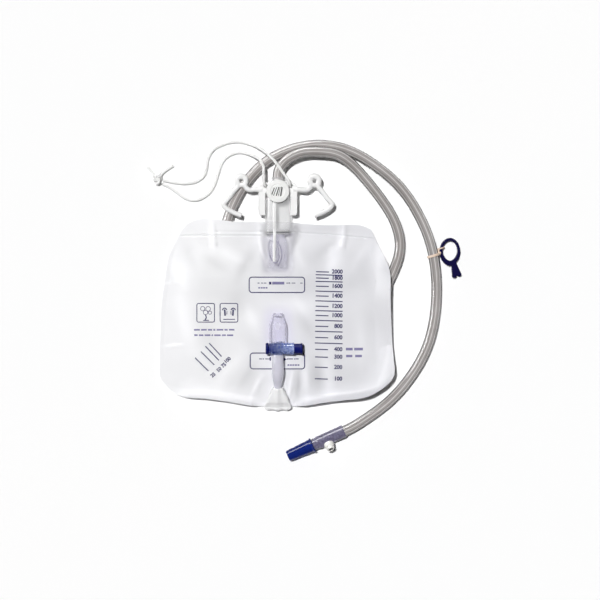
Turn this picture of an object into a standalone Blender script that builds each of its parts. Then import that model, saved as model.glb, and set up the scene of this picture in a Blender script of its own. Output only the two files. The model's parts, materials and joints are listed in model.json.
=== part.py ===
# Urine drainage bag lying on its back: two welded films, a moulded hanger with
# two spring hooks, a drip chamber, a push-pull drain tap folded up on the front,
# and the drainage tube with its connector, cap, sampling port and sheet clip.
# Metres, +Y towards the hanger, +Z out of the bag's printed face, floor at z = 0.

import math

import bmesh
import bpy
import numpy as np
from mathutils import Matrix, Vector

# Running clearance between pieces that touch
GAP = 0.0003

# Bag films
BAG_WIDTH = 0.246
BAG_LENGTH = 0.1945
BAG_TOP_Y = 0.0745
BAG_END_Y = BAG_TOP_Y - BAG_LENGTH
FILM_THICKNESS = 0.0005
WELD_GAP = 0.0006
HEADER_LENGTH = 0.0165
EDGE_WELD = 0.005
AIR_HEIGHT = 0.0123
AIR_SLOPE = 0.045
HUMP_HEIGHT = 0.0145
HUMP_SPREAD = 0.020
AXIS_X = 0.0013

# Hanger
PLATE_HALF_WIDTH = 0.0203
PLATE_TOP_Y = 0.1145
PLATE_BOTTOM_Y = 0.0798
PLATE_THICKNESS = 0.003
PLATE_Z = 0.0138
PLATE_CORNER = 0.003
HOOK_RADIUS = 0.0024
ARM_Y = 0.1068
RING_REACH = 0.0379
RING_Y = 0.1161
RING_RADIUS = 0.0054
ELBOW_REACH = 0.0565
ELBOW_Y = 0.0918
TIP_REACH = 0.0381
TIP_Y = 0.0798
EYELET_REACH = 0.0131
EYELET_Y = 0.1108
EYELET_RADIUS = 0.0023
SADDLE_HALF_WIDTH = 0.0088
SADDLE_TOP_Y = 0.1155
SADDLE_BOTTOM_Y = 0.1030
SADDLE_TOP_Z = 0.0200
BOSS_RADIUS = 0.0105
BOSS_THICKNESS = 0.0019

# Drip chamber and vent
CHAMBER_TOP_Y = 0.1197
NECK_RADIUS = 0.0065
NECK_Z = 0.0110
SHOULDER_TOP_Y = 0.1024
SHOULDER_BOTTOM_Y = 0.0975
BARREL_HALF_WIDTH = 0.0137
BARREL_HALF_DEPTH = 0.0080
BARREL_Z = 0.0090
BARREL_BOTTOM_Y = 0.0622
CHAMBER_WALL = 0.0012
SOCKET_DEPTH = 0.0080
NECK_BORE_RADIUS = 0.0035
BASE_FLANGE = 0.0016
BASE_PLUG = 0.0040
SPIGOT_RADIUS = 0.0062
SPIGOT_BORE = 0.0050
SPIGOT_END_Y = 0.0310
VALVE_HALF_WIDTH = 0.0102
VALVE_HALF_DEPTH = 0.0070
VALVE_WALL = 0.0006
VALVE_END_Y = 0.0220
VENT_RADIUS = 0.0120
VENT_THICKNESS = 0.0020
VENT_RIB_RADIUS = 0.0086
VENT_RIB_WIDTH = 0.0009
VENT_RIB_HEIGHT = 0.0005
VENT_Y = 0.1050
VENT_HOLE_RADIUS = 0.0008
FILTER_RADIUS = 0.0070
FILTER_THICKNESS = 0.0004

# Drain tap, folded up on the front film
TAP_Y = BAG_END_Y + 0.0610
TAP_Z = 0.0228
BARREL_LEFT = 0.0090
BARREL_RIGHT = 0.0170
TAP_RADIUS = 0.0063
TAP_BORE = 0.0055
TAP_SPIGOT_RADIUS = 0.0042
TAP_SPIGOT_LENGTH = 0.0065
FLOW_BORE = 0.0026
STEM_RADIUS = 0.0051
STEM_LIP_RADIUS = 0.0059
STEM_LIP_LENGTH = 0.0016
STEM_TRAVEL = 0.0068
STEM_CAP_LENGTH = 0.0033
STEM_PIN_RADIUS = 0.0022
RING_GROOVE_RADIUS = 0.0036
SEAL_RADIUS = 0.0007
SEAL_OFFSETS = (0.0030, 0.0108)
SPOUT_RADIUS = 0.0089
SPOUT_WALL = 0.0014
SPOUT_BASE = 0.0070
SPOUT_BODY = 0.0180
SPOUT_LENGTH = 0.0304
SPOUT_TIP = 0.0025
SPOUT_TIP_RADIUS = 0.0053

# Outlet tube and folded neck under the tap
OUTLET_WALL = 0.0013
OUTLET_NARROW_RADIUS = 0.0036
OUTLET_END_Y = BAG_END_Y + 0.0125
NECK_FOLD_RADIUS = 0.0026
NECK_WIDE = 0.0146
NECK_MOUTH = 0.0060
NECK_WALL = 0.0006
NECK_MOUTH_Y = BAG_END_Y + 0.0197

# Drainage tube and what is on it
TUBE_RADIUS = 0.0055
TUBE_WALL_CLEAR = 0.0003
CONNECTOR_MOUTH = (0.0706, -0.1455)
CONNECTOR_TURN = math.radians(204.1)
CONNECTOR_Z = 0.0076
SLEEVE_RADIUS = 0.0068
SLEEVE_LENGTH = 0.0310
SHANK_RADIUS = 0.0060
SHANK_LENGTH = 0.0046
NOZZLE_ROOT_RADIUS = 0.0052
NOZZLE_TIP_RADIUS = 0.0034
NOZZLE_LENGTH = 0.0250
NOZZLE_BORE = 0.0018
TUBE_INSERTION = 0.0085
CAP_LIP_RADIUS = 0.0074
CAP_ROOT_RADIUS = 0.0070
CAP_END_RADIUS = 0.0055
CAP_LENGTH = 0.0284
CAP_WALL = 0.0012
CAP_PULL = 0.030
PORT_ALONG = 0.0185
PORT_TILT = math.radians(35.0)
PORT_BALL_RADIUS = 0.0055
PORT_BALL_OUT = 0.0075
PORT_NOZZLE_RADIUS = 0.0039
PORT_NOZZLE_OUT = 0.0142
PORT_SEAT_RADIUS = 0.0024
SEPTUM_THICKNESS = 0.0015
CLIP_CENTRE = (0.1815, 0.0420)
CLIP_HALF_WIDTH = 0.0110
CLIP_HALF_LENGTH = 0.0147
CLIP_BAR = 0.0032
CLIP_THICKNESS = 0.0040
CLIP_TILT = math.radians(7.0)
PRONG_RADIUS = 0.0021
PRONG_LENGTH = 0.0128
PRONG_ROOT = 0.0040
PRONG_REACH = 0.0072
PRONG_SPREAD = 0.0025
BAND_THICKNESS = 0.0009
BAND_WIDTH = 0.0032
BAND_TUBE_Z = 0.0069
CORD_RADIUS = 0.0015

# Route of the tube's centreline: x, y, z in millimetres, from the chamber's socket, over its own
# outer pass, down the right, under the bag, up behind the left hook and round to the connector
TUBE_ROUTE = (
    (1.3, 120.2, 11), (1.7, 124.6, 11.1), (4.6, 131.6, 11.9), (13, 140, 13.3), (28, 146, 14.6),
    (45, 146.5, 14.7), (62, 144, 14), (79, 133, 9), (94, 117, 5.9), (111, 95, 5.6),
    (125, 70, 5.6), (129, 47, 5.6), (120, 17, 5.6), (103, -9, 5.6), (75, -22, 5.6),
    (43, -25, 5.6), (12, -24, 5.6), (-19, -12, 5.6), (-42, 9, 5.6), (-53, 38, 5.6),
    (-54, 63, 5.6), (-47, 88, 5.6), (-34, 112, 5.6), (-13, 135, 5.6), (14, 149, 5.6),
    (43, 154, 5.6), (73, 149, 5.6), (104, 132, 5.6), (129, 110, 5.6), (148, 82, 5.6),
    (160, 54, 6.3), (164, 38, 7.2), (167, 13, 5.9), (166, -21, 5.6), (158, -56, 5.6),
    (140, -89, 5.6), (117, -115, 5.6), (92, -133.5, 6.2), (74, -144, 7.5),
)

# Route of the hanging cord's two strands, from under the neck through their eyelets to the knot
RIGHT_STRAND = (
    (1.6, 110.8, 2.3), (8, 110.8, 2.4), (13, 110.8, 5.6), (14.4, 110.8, 12), (14, 111.4, 17.5),
    (12.6, 116, 20.2), (8.6, 121.6, 20.4), (3.6, 128.8, 20.4), (-3, 137.5, 17), (-10, 144.5, 13.2),
    (-19, 151, 6.5), (-30, 155.5, 2), (-43, 157.5, 1.6), (-57, 154.5, 1.6), (-67.5, 148, 1.6),
    (-72, 139.5, 1.6), (-73.5, 131, 1.6), (-76, 122.5, 1.6), (-82, 117, 1.6), (-91, 114.2, 1.6),
    (-101, 114, 1.6), (-110, 115.2, 1.8), (-119.2, 117.2, 3),
)
LEFT_STRAND = (
    (1.0, 110.8, 2.3), (-5.4, 110.8, 2.4), (-10.4, 110.8, 5.6), (-11.8, 110.8, 12),
    (-12.6, 112, 17), (-13.6, 117, 19), (-13.7, 124, 17.6), (-14, 131.5, 14.4),
    (-17.5, 138, 13), (-23.5, 142, 8), (-31, 145, 2.4), (-40, 146.2, 1.6), (-49, 143.6, 1.6),
    (-56, 137.5, 1.6), (-60, 129, 1.6), (-63, 119, 1.6), (-67, 109, 1.6), (-74, 101, 1.6),
    (-82, 97, 1.6), (-90, 96.4, 1.6), (-98, 99.5, 1.6), (-106, 105.4, 1.6), (-113, 110, 1.8),
    (-120.2, 113.4, 3),
)
KNOT_CENTRE = (-0.1252, 0.1180, 0.0043)
KNOT_SIZE = (0.0054, 0.0066, 0.0041)
KNOT_TAILS = (
    ((-126.6, 120, 3.6), (-130.5, 125.4, 2), (-135.4, 130.6, 1.7)),
    ((-123.4, 121, 3.8), (-117.5, 126.6, 2), (-108.6, 132.6, 1.7)),
)

# Outline of the films: share of half the width, and share of the length down from the top edge
LEFT_EDGE = (
    (-0.943, 0.887), (-0.992, 0.846), (-1.0, 0.79), (-1.0, 0.72), (-0.992, 0.589),
    (-0.976, 0.409), (-0.951, 0.306), (-0.911, 0.177), (-0.86, 0.112), (-0.82, 0.062),
    (-0.764, 0.018),
)
TOP_EDGE = (
    (-0.764, 0.018), (-0.71, 0.001), (-0.4, 0.003), (-0.073, 0.005), (0.163, 0.012),
    (0.537, 0.022), (0.748, 0.031), (0.805, 0.049),
)
RIGHT_EDGE = (
    (0.927, 0.887), (0.994, 0.83), (0.998, 0.77), (0.986, 0.69), (0.974, 0.56),
    (0.964, 0.4), (0.953, 0.26), (0.878, 0.147), (0.805, 0.049),
)
BOTTOM_EDGE = (
    (-0.943, 0.887), (-0.89, 0.92), (-0.82, 0.943), (-0.7, 0.953), (-0.488, 0.966),
    (-0.25, 0.991), (-0.13, 1.0), (0.02, 1.0), (0.16, 1.0), (0.27, 0.992), (0.537, 0.966),
    (0.797, 0.938), (0.927, 0.887),
)


def clear_scene():
    for obj in list(bpy.data.objects):
        bpy.data.objects.remove(obj, do_unlink=True)


def new_collection(name):
    collection = bpy.data.collections.new(name)
    bpy.context.scene.collection.children.link(collection)
    return collection


clear_scene()
BAG = new_collection("urine_drainage_bag")
CUTTERS = new_collection("cutters")


def plastic(name, colour, roughness, alpha=1.0):
    material = bpy.data.materials.new(name)
    material.use_nodes = True
    shader = material.node_tree.nodes["Principled BSDF"]
    shader.inputs["Base Color"].default_value = (*colour, 1.0)
    shader.inputs["Roughness"].default_value = roughness
    shader.inputs["Alpha"].default_value = alpha
    return material


def add_object(name, data, material=None, collection=None):
    obj = bpy.data.objects.new(name, data)
    (collection or BAG).objects.link(obj)
    if material:
        data.materials.append(material)
    return obj


def mesh_from(bm, name, closed=True):
    if closed:
        bmesh.ops.recalc_face_normals(bm, faces=bm.faces)
    mesh = bpy.data.meshes.new(name)
    bm.to_mesh(mesh)
    bm.free()
    mesh.shade_smooth()
    mesh.set_sharp_from_angle(angle=math.radians(38))
    return mesh


# A natural cubic spline through the points, read at equal shares of its chord length
def smooth_line(points, count):
    p = np.array(points, float)
    t = np.concatenate([[0], np.cumsum(np.linalg.norm(np.diff(p, axis=0), axis=1))])
    h = np.diff(t)
    slopes = np.diff(p, axis=0) / h[:, None]
    system = np.eye(len(p))
    right = np.zeros_like(p)
    for i in range(1, len(p) - 1):
        system[i, i - 1 : i + 2] = h[i - 1], 2 * (h[i - 1] + h[i]), h[i]
        right[i] = 6 * (slopes[i] - slopes[i - 1])
    bend = np.linalg.solve(system, right)
    at = np.linspace(0, t[-1], count)
    i = np.clip(np.searchsorted(t, at, side="right") - 1, 0, len(h) - 1)
    s = (at - t[i])[:, None]
    first = slopes[i] - h[i, None] * (2 * bend[i] + bend[i + 1]) / 6
    third = (bend[i + 1] - bend[i]) / (6 * h[i, None])
    return p[i] + first * s + bend[i] / 2 * s**2 + third * s**3


def millimetres(points):
    return [tuple(value / 1000 for value in point) for point in points]


# A round tube along a line of points, with flat caps
def round_tube(name, points, radius, material, resolution):
    curve = bpy.data.curves.new(name, "CURVE")
    curve.dimensions = "3D"
    curve.bevel_depth = radius
    curve.bevel_resolution = resolution
    curve.use_fill_caps = True
    spline = curve.splines.new("POLY")
    spline.points.add(len(points) - 1)
    for point, place in zip(spline.points, points):
        point.co = (*place, 1.0)
    return add_object(name, curve, material)


# The curve's evaluated surface as a mesh object with welded caps, in the curve's place
def to_mesh_object(curve_object):
    bpy.context.view_layer.update()
    depsgraph = bpy.context.evaluated_depsgraph_get()
    mesh = bpy.data.meshes.new_from_object(curve_object.evaluated_get(depsgraph))
    bm = bmesh.new()
    bm.from_mesh(mesh)
    bmesh.ops.remove_doubles(bm, verts=bm.verts, dist=0.00001)
    bmesh.ops.recalc_face_normals(bm, faces=bm.faces)
    bm.to_mesh(mesh)
    bm.free()
    name = curve_object.name
    place = curve_object.matrix_world.copy()
    bpy.data.objects.remove(curve_object, do_unlink=True)
    obj = add_object(name, mesh)
    obj.matrix_world = place
    return obj


# A frame that carries local +Z to the given direction
def facing(place, direction):
    turn = Vector(direction).to_track_quat("Z", "Y").to_matrix().to_4x4()
    return Matrix.Translation(place) @ turn


# A turned piece: (radius, height) down the outer side; a profile that leaves the axis free is a ring
def turned(name, profile, material, frame, steps=24, collection=None):
    mesh = bpy.data.meshes.new(name)
    edges = [(i, i + 1) for i in range(len(profile) - 1)]
    if profile[0][0] > 0:
        edges.append((len(profile) - 1, 0))
    mesh.from_pydata([(radius, 0, height) for radius, height in profile], edges, [])
    obj = add_object(name, mesh, material, collection)
    screw = obj.modifiers.new("turn", "SCREW")
    screw.steps = steps
    screw.render_steps = steps
    screw.use_merge_vertices = True
    screw.merge_threshold = 0.00001
    screw.use_smooth_shade = True
    obj.matrix_world = frame
    return obj


# Rings of equal count joined in order; a hollow loft also joins the last ring to the first
def lofted(name, rings, material, hollow=False, collection=None):
    bm = bmesh.new()
    loops = [[bm.verts.new(point) for point in ring] for ring in rings]
    pairs = list(zip(loops, loops[1:]))
    if hollow:
        pairs.append((loops[-1], loops[0]))
    for low, high in pairs:
        for i in range(len(low)):
            j = (i + 1) % len(low)
            bm.faces.new((low[i], low[j], high[j], high[i]))
    if not hollow:
        bm.faces.new(loops[0])
        bm.faces.new(loops[-1])
    return add_object(name, mesh_from(bm, name), material, collection)


# An oval ring across +Y
def oval(x, y, z, half_width, half_depth, sides=20):
    angles = [2 * math.pi * i / sides for i in range(sides)]
    return [(x + half_width * math.cos(a), y, z + half_depth * math.sin(a)) for a in angles]


# An oval ring across a direction in the YZ plane
def tilted_oval(x, centre, direction, half_width, half_depth, sides=24):
    y, z = centre
    up = (-direction[1], direction[0])
    ring = []
    for i in range(sides):
        angle = 2 * math.pi * i / sides
        out = half_depth * math.sin(angle)
        ring.append((x + half_width * math.cos(angle), y + up[0] * out, z + up[1] * out))
    return ring


def boolean(obj, other, operation):
    modifier = obj.modifiers.new(operation.lower(), "BOOLEAN")
    modifier.operation = operation
    modifier.solver = "EXACT"
    modifier.object = other
    if other.name not in CUTTERS.objects:
        for collection in list(other.users_collection):
            collection.objects.unlink(other)
        CUTTERS.objects.link(other)
    other.hide_render = True
    other.display_type = "WIRE"


# A closed flat outline, with round or other holes, raised to a plate
def flat_plate(name, outlines, thickness, material=None):
    curve = bpy.data.curves.new(name, "CURVE")
    curve.dimensions = "2D"
    curve.fill_mode = "BOTH"
    curve.extrude = thickness / 2
    for outline in outlines:
        spline = curve.splines.new("POLY")
        spline.points.add(len(outline) - 1)
        for point, place in zip(spline.points, outline):
            point.co = (place[0], place[1], 0, 1)
        spline.use_cyclic_u = True
    return add_object(name, curve, material)


def arc(centre, radius, start, end, count):
    angles = [math.radians(start + (end - start) * i / (count - 1)) for i in range(count)]
    return [(centre[0] + radius * math.cos(a), centre[1] + radius * math.sin(a)) for a in angles]


def tube_line(count=400):
    return smooth_line(millimetres(TUBE_ROUTE) + [tuple(connector_point(0.001))], count)


# The connector's axis, from the mouth where the tube enters to the cap's end
def connector_axis():
    return Vector((math.cos(CONNECTOR_TURN), math.sin(CONNECTOR_TURN), 0))


def connector_point(along):
    return Vector((*CONNECTOR_MOUTH, CONNECTOR_Z)) + connector_axis() * along


def edge_curve(shares, count):
    top = BAG_TOP_Y
    points = [(x * BAG_WIDTH / 2, top - y * BAG_LENGTH) for x, y in shares]
    return smooth_line(points, count * 8 + 1)


# Grid lines across the films, closer together over the drip chamber
def film_columns():
    side = np.linspace(0, 0.39, 8)
    middle = np.linspace(0.39, 0.61, 11)
    return np.concatenate([side, middle[1:-1], 1 - side[::-1]])


def film_rows():
    return np.concatenate([np.linspace(0, 0.7, 11), np.linspace(0.7, 1, 8)[1:]])


def at_share(line, share):
    place = share * (len(line) - 1)
    return np.array([np.interp(place, range(len(line)), line[:, k]) for k in range(2)])


# A Coons patch between the four edges: rows of (x, y) points
def film_grid():
    left, right = edge_curve(LEFT_EDGE, 20), edge_curve(RIGHT_EDGE, 20)
    bottom, top = edge_curve(BOTTOM_EDGE, 30), edge_curve(TOP_EDGE, 30)
    rows = []
    for v in film_rows():
        row = []
        for u in film_columns():
            across = (1 - v) * at_share(bottom, u) + v * at_share(top, u)
            along = (1 - u) * at_share(left, v) + u * at_share(right, v)
            corners = (1 - v) * ((1 - u) * bottom[0] + u * bottom[-1])
            corners = corners + v * ((1 - u) * top[0] + u * top[-1])
            row.append((*(across + along - corners), u, v))
        rows.append(row)
    return rows


# Height of the back film's underside: a soft ridge where it lies over the tube
def back_height(x, y, line):
    near = np.min(np.hypot(line[:, 0] - x, line[:, 1] - y))
    return HUMP_HEIGHT * math.exp(-((near / HUMP_SPREAD) ** 2))


def smooth_max(a, b, blend):
    h = max(blend - abs(a - b), 0) / blend
    return max(a, b) + h * h * blend / 4


def rise(distance):
    share = min(max(distance / AIR_SLOPE, 0), 1)
    return 1 - (1 - share) ** 2


# Height of the front film's underside: the air in the bag, and the arch over the drip chamber
def front_height(x, y, u, v, line):
    base = back_height(x, y, line) + FILM_THICKNESS + WELD_GAP
    from_side = min(u, 1 - u) * BAG_WIDTH - EDGE_WELD
    from_bottom = v * BAG_LENGTH - EDGE_WELD
    from_top = (1 - v) * BAG_LENGTH - HEADER_LENGTH
    air = AIR_HEIGHT * rise(from_side) * rise(from_bottom) * rise(from_top)
    along = min(max((y + 0.006) / 0.038, 0), 1)
    arch_top = BARREL_Z + BARREL_HALF_DEPTH + 4 * GAP
    across = math.exp(-((abs(x - AXIS_X) / (BARREL_HALF_WIDTH + 0.0053)) ** 3.2))
    arch = arch_top * across * along * along * (3 - 2 * along)
    return smooth_max(smooth_max(base, air, 0.002), arch, 0.002)


def film(name, height, material):
    bm = bmesh.new()
    grid = [[bm.verts.new((x, y, height(x, y, u, v))) for x, y, u, v in row] for row in film_grid()]
    for low, high in zip(grid, grid[1:]):
        for i in range(len(low) - 1):
            bm.faces.new((low[i], low[i + 1], high[i + 1], high[i]))
    obj = add_object(name, mesh_from(bm, name, closed=False), material)
    solidify = obj.modifiers.new("film", "SOLIDIFY")
    solidify.thickness = FILM_THICKNESS
    solidify.offset = 1
    return obj


def build_films():
    line = tube_line()
    below = line[:, 1] < BAG_TOP_Y + HUMP_SPREAD
    near_bag = line[below & (line[:, 0] < BAG_WIDTH / 2 + 0.45 * HUMP_SPREAD)]
    white = plastic("white_film", (0.84, 0.84, 0.87), 0.35)
    clear = plastic("clear_film", (0.86, 0.86, 0.9), 0.15, 0.35)
    film("bag_back_film", lambda x, y, u, v: back_height(x, y, near_bag), white)
    film("bag_front_film", lambda x, y, u, v: front_height(x, y, u, v, near_bag), clear)


# One spring hook: arm, split ring, strut, elbow and leg, as the mirror image on the other side
def hook_line(side):
    ring = (RING_REACH, RING_Y)
    around = arc(ring, RING_RADIUS, 205, -25, 11)
    points = [(PLATE_HALF_WIDTH - 0.004, ARM_Y), (PLATE_HALF_WIDTH + 0.005, ARM_Y)]
    points += [(RING_REACH - 0.0062, ARM_Y + 0.0006), (RING_REACH - 0.0038, ARM_Y + 0.0028)]
    points += around
    points += [(RING_REACH + 0.0042, RING_Y - 0.0052), (RING_REACH + 0.0062, RING_Y - 0.0098)]
    points += [(ELBOW_REACH - 0.0038, ELBOW_Y + 0.0044), (ELBOW_REACH, ELBOW_Y - 0.0006)]
    points += [(ELBOW_REACH - 0.0038, ELBOW_Y - 0.0052), (TIP_REACH, TIP_Y)]
    flat = smooth_line(points, 28)
    return [(AXIS_X + side * x, y, PLATE_Z) for x, y in flat]


def cylinder_cutter(name, radius, length, frame, steps=24):
    profile = [(0, length / 2), (radius, length / 2), (radius, -length / 2), (0, -length / 2)]
    return turned(name, profile, None, frame, steps, CUTTERS)


def box_cutter(name, low, high):
    bm = bmesh.new()
    bmesh.ops.create_cube(bm, size=1)
    size = [b - a for a, b in zip(low, high)]
    bmesh.ops.scale(bm, vec=size, verts=bm.verts)
    bmesh.ops.translate(bm, vec=[(a + b) / 2 for a, b in zip(low, high)], verts=bm.verts)
    return add_object(name, mesh_from(bm, name), None, CUTTERS)


# Outline of the plate: an inverted U that hugs the barrel, with rounded outer corners
def plate_outline():
    corner = PLATE_CORNER
    wide = PLATE_HALF_WIDTH
    lower = (wide - corner, PLATE_BOTTOM_Y + corner)
    upper = (wide - 2 * corner, PLATE_TOP_Y - 2 * corner)
    drop = PLATE_Z - PLATE_THICKNESS / 2 - BARREL_Z
    slot = BARREL_HALF_WIDTH * math.sqrt(1 - (drop / BARREL_HALF_DEPTH) ** 2) + 2 * GAP
    right = arc(lower, corner, -90, 0, 5) + arc(upper, 2 * corner, 0, 90, 6)
    left = [(-x, y) for x, y in reversed(right)]
    inner = [(-slot, PLATE_BOTTOM_Y), (-slot, SADDLE_BOTTOM_Y), (slot, SADDLE_BOTTOM_Y)]
    inner.append((slot, PLATE_BOTTOM_Y))
    return [(AXIS_X + x, y) for x, y in right + left + inner]


def build_hanger():
    white = plastic("white_moulding", (0.9, 0.9, 0.9), 0.4)
    outlines = [plate_outline()]
    for side in (-1, 1):
        centre = (AXIS_X + side * EYELET_REACH, EYELET_Y)
        outlines.append(arc(centre, EYELET_RADIUS, 0, 330, 12))
    plate = flat_plate("hanger", outlines, PLATE_THICKNESS)
    plate.location.z = PLATE_Z
    hanger = to_mesh_object(plate)
    hanger.data.materials.append(white)
    for side in (-1, 1):
        hook = to_mesh_object(round_tube(f"hook_{side}", hook_line(side), HOOK_RADIUS, None, 2))
        boolean(hanger, hook, "UNION")
    low_z = PLATE_Z - PLATE_THICKNESS / 2
    saddle = box_cutter(
        "saddle",
        (AXIS_X - SADDLE_HALF_WIDTH, SADDLE_BOTTOM_Y + GAP, low_z + GAP),
        (AXIS_X + SADDLE_HALF_WIDTH, SADDLE_TOP_Y, SADDLE_TOP_Z),
    )
    boolean(hanger, saddle, "UNION")
    boss_z = SADDLE_TOP_Z - BOSS_THICKNESS / 2
    boss = cylinder_cutter(
        "boss", BOSS_RADIUS, BOSS_THICKNESS, Matrix.Translation((AXIS_X, VENT_Y, boss_z)), 32
    )
    boolean(hanger, boss, "UNION")
    neck = cylinder_cutter(
        "neck_cut", NECK_RADIUS + GAP, 2 * (SADDLE_TOP_Y - PLATE_BOTTOM_Y),
        facing((AXIS_X, SADDLE_TOP_Y, NECK_Z), (0, 1, 0)),
    )
    boolean(hanger, neck, "DIFFERENCE")
    recess_depth = FILTER_THICKNESS + 2 * GAP
    recess = cylinder_cutter(
        "filter_recess", FILTER_RADIUS + GAP, 2 * recess_depth,
        Matrix.Translation((AXIS_X, VENT_Y, SADDLE_TOP_Z)),
    )
    boolean(hanger, recess, "DIFFERENCE")


# The chamber: a round neck with the tube's socket, a shoulder, and an oval barrel open at its lower end
def build_chamber():
    clear = plastic("clear_chamber", (0.85, 0.86, 0.87), 0.1, 0.4)
    wall = CHAMBER_WALL
    socket = TUBE_RADIUS + TUBE_WALL_CLEAR
    middle = (SHOULDER_TOP_Y + SHOULDER_BOTTOM_Y) / 2
    half_wide = (NECK_RADIUS + BARREL_HALF_WIDTH) / 2
    half_deep = (NECK_RADIUS + BARREL_HALF_DEPTH) / 2
    half_z = (NECK_Z + BARREL_Z) / 2

    def ring(y, half_width, half_depth, z):
        return oval(AXIS_X, y, z, half_width, half_depth)

    outer = [
        ring(CHAMBER_TOP_Y, NECK_RADIUS, NECK_RADIUS, NECK_Z),
        ring(SHOULDER_TOP_Y, NECK_RADIUS, NECK_RADIUS, NECK_Z),
        ring(middle, half_wide, half_deep, half_z),
        ring(SHOULDER_BOTTOM_Y, BARREL_HALF_WIDTH - 0.0006, BARREL_HALF_DEPTH - 0.0003, BARREL_Z),
        ring(SHOULDER_BOTTOM_Y - 0.003, BARREL_HALF_WIDTH, BARREL_HALF_DEPTH, BARREL_Z),
        ring(BARREL_BOTTOM_Y, BARREL_HALF_WIDTH, BARREL_HALF_DEPTH, BARREL_Z),
    ]
    inner = [
        ring(BARREL_BOTTOM_Y, BARREL_HALF_WIDTH - wall, BARREL_HALF_DEPTH - wall, BARREL_Z),
        ring(SHOULDER_BOTTOM_Y, BARREL_HALF_WIDTH - wall - 0.0006, BARREL_HALF_DEPTH - wall, BARREL_Z),
        ring(middle, half_wide - 1.4 * wall, half_deep - 1.2 * wall, half_z),
        ring(SHOULDER_TOP_Y, NECK_BORE_RADIUS, NECK_BORE_RADIUS, NECK_Z),
        ring(CHAMBER_TOP_Y - SOCKET_DEPTH, NECK_BORE_RADIUS, NECK_BORE_RADIUS, NECK_Z),
        ring(CHAMBER_TOP_Y - SOCKET_DEPTH, socket, socket, NECK_Z),
        ring(CHAMBER_TOP_Y, socket, socket, NECK_Z),
    ]
    lofted("drip_chamber", outer + inner, clear, hollow=True)

    flange_y = BARREL_BOTTOM_Y - GAP
    plug_y = BARREL_BOTTOM_Y + BASE_PLUG
    plug_wide = BARREL_HALF_WIDTH - wall - GAP
    plug_deep = BARREL_HALF_DEPTH - wall - GAP
    base = [
        ring(plug_y, plug_wide, plug_deep, BARREL_Z),
        ring(flange_y, plug_wide, plug_deep, BARREL_Z),
        ring(flange_y, BARREL_HALF_WIDTH, BARREL_HALF_DEPTH, BARREL_Z),
        ring(flange_y - BASE_FLANGE, BARREL_HALF_WIDTH, BARREL_HALF_DEPTH, BARREL_Z),
        ring(flange_y - BASE_FLANGE, SPIGOT_RADIUS, SPIGOT_RADIUS, BARREL_Z),
        ring(SPIGOT_END_Y, SPIGOT_RADIUS - 0.0006, SPIGOT_RADIUS - 0.0006, BARREL_Z - 0.001),
        ring(SPIGOT_END_Y, SPIGOT_BORE - 0.0006, SPIGOT_BORE - 0.0006, BARREL_Z - 0.001),
        ring(plug_y - 0.003, SPIGOT_BORE, SPIGOT_BORE, BARREL_Z),
    ]
    lofted("chamber_base", base, clear, hollow=True)


# The non-return valve: a soft film sleeve round the spigot, flattened shut below it
def build_valve():
    lilac = plastic("lilac_sleeve", (0.78, 0.76, 0.88), 0.2, 0.5)
    top_y = BARREL_BOTTOM_Y - GAP - BASE_FLANGE - GAP
    length = top_y - VALVE_END_Y
    grip = SPIGOT_RADIUS + GAP + VALVE_WALL
    stations = (
        (0.0, grip, grip, BARREL_Z),
        (0.18, VALVE_HALF_WIDTH - 0.001, VALVE_HALF_DEPTH, BARREL_Z),
        (0.45, VALVE_HALF_WIDTH, VALVE_HALF_DEPTH, BARREL_Z - 0.0004),
        (0.78, VALVE_HALF_WIDTH, VALVE_HALF_DEPTH - 0.0004, BARREL_Z - 0.001),
        (1.0, VALVE_HALF_WIDTH - 0.0014, 0.0014, BARREL_Z - 0.003),
    )
    outer = [oval(AXIS_X, top_y - s * length, z, w, d) for s, w, d, z in stations]
    inner = [
        oval(AXIS_X, top_y - s * length, z, w - VALVE_WALL, d - VALVE_WALL)
        for s, w, d, z in reversed(stations)
    ]
    lofted("anti_reflux_valve", outer + inner, lilac, hollow=True)


# The vent: a ribbed disc with four holes over a water-repellent filter
def build_vent():
    white = plastic("vent_plastic", (0.86, 0.86, 0.86), 0.35)
    bottom = GAP
    top = bottom + VENT_THICKNESS
    rib = VENT_RIB_RADIUS
    profile = [
        (0, top - VENT_RIB_HEIGHT), (rib - VENT_RIB_WIDTH, top - VENT_RIB_HEIGHT),
        (rib - VENT_RIB_WIDTH, top), (rib, top), (rib, top - VENT_RIB_HEIGHT),
        (VENT_RADIUS - 0.0008, top - VENT_RIB_HEIGHT), (VENT_RADIUS, top - 0.001),
        (VENT_RADIUS, bottom), (0, bottom),
    ]
    cap = turned("vent_cap", profile, white, Matrix.Translation((AXIS_X, VENT_Y, SADDLE_TOP_Z)), 30)
    for i in range(4):
        angle = math.radians(45 + 90 * i)
        place = (AXIS_X + 0.004 * math.cos(angle), VENT_Y + 0.004 * math.sin(angle), SADDLE_TOP_Z)
        hole = cylinder_cutter(
            f"vent_hole_{i}", VENT_HOLE_RADIUS, 0.01, Matrix.Translation(place), 8
        )
        boolean(cap, hole, "DIFFERENCE")
    cloth = plastic("filter_membrane", (0.95, 0.95, 0.95), 0.9)
    disc = [
        (0, -GAP), (FILTER_RADIUS, -GAP), (FILTER_RADIUS, -GAP - FILTER_THICKNESS),
        (0, -GAP - FILTER_THICKNESS),
    ]
    turned("vent_filter", disc, cloth, Matrix.Translation((AXIS_X, VENT_Y, SADDLE_TOP_Z)), 24)


def tap_frame(along=0.0, direction=(1, 0, 0)):
    return facing((AXIS_X + along, TAP_Y, TAP_Z), direction)


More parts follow.
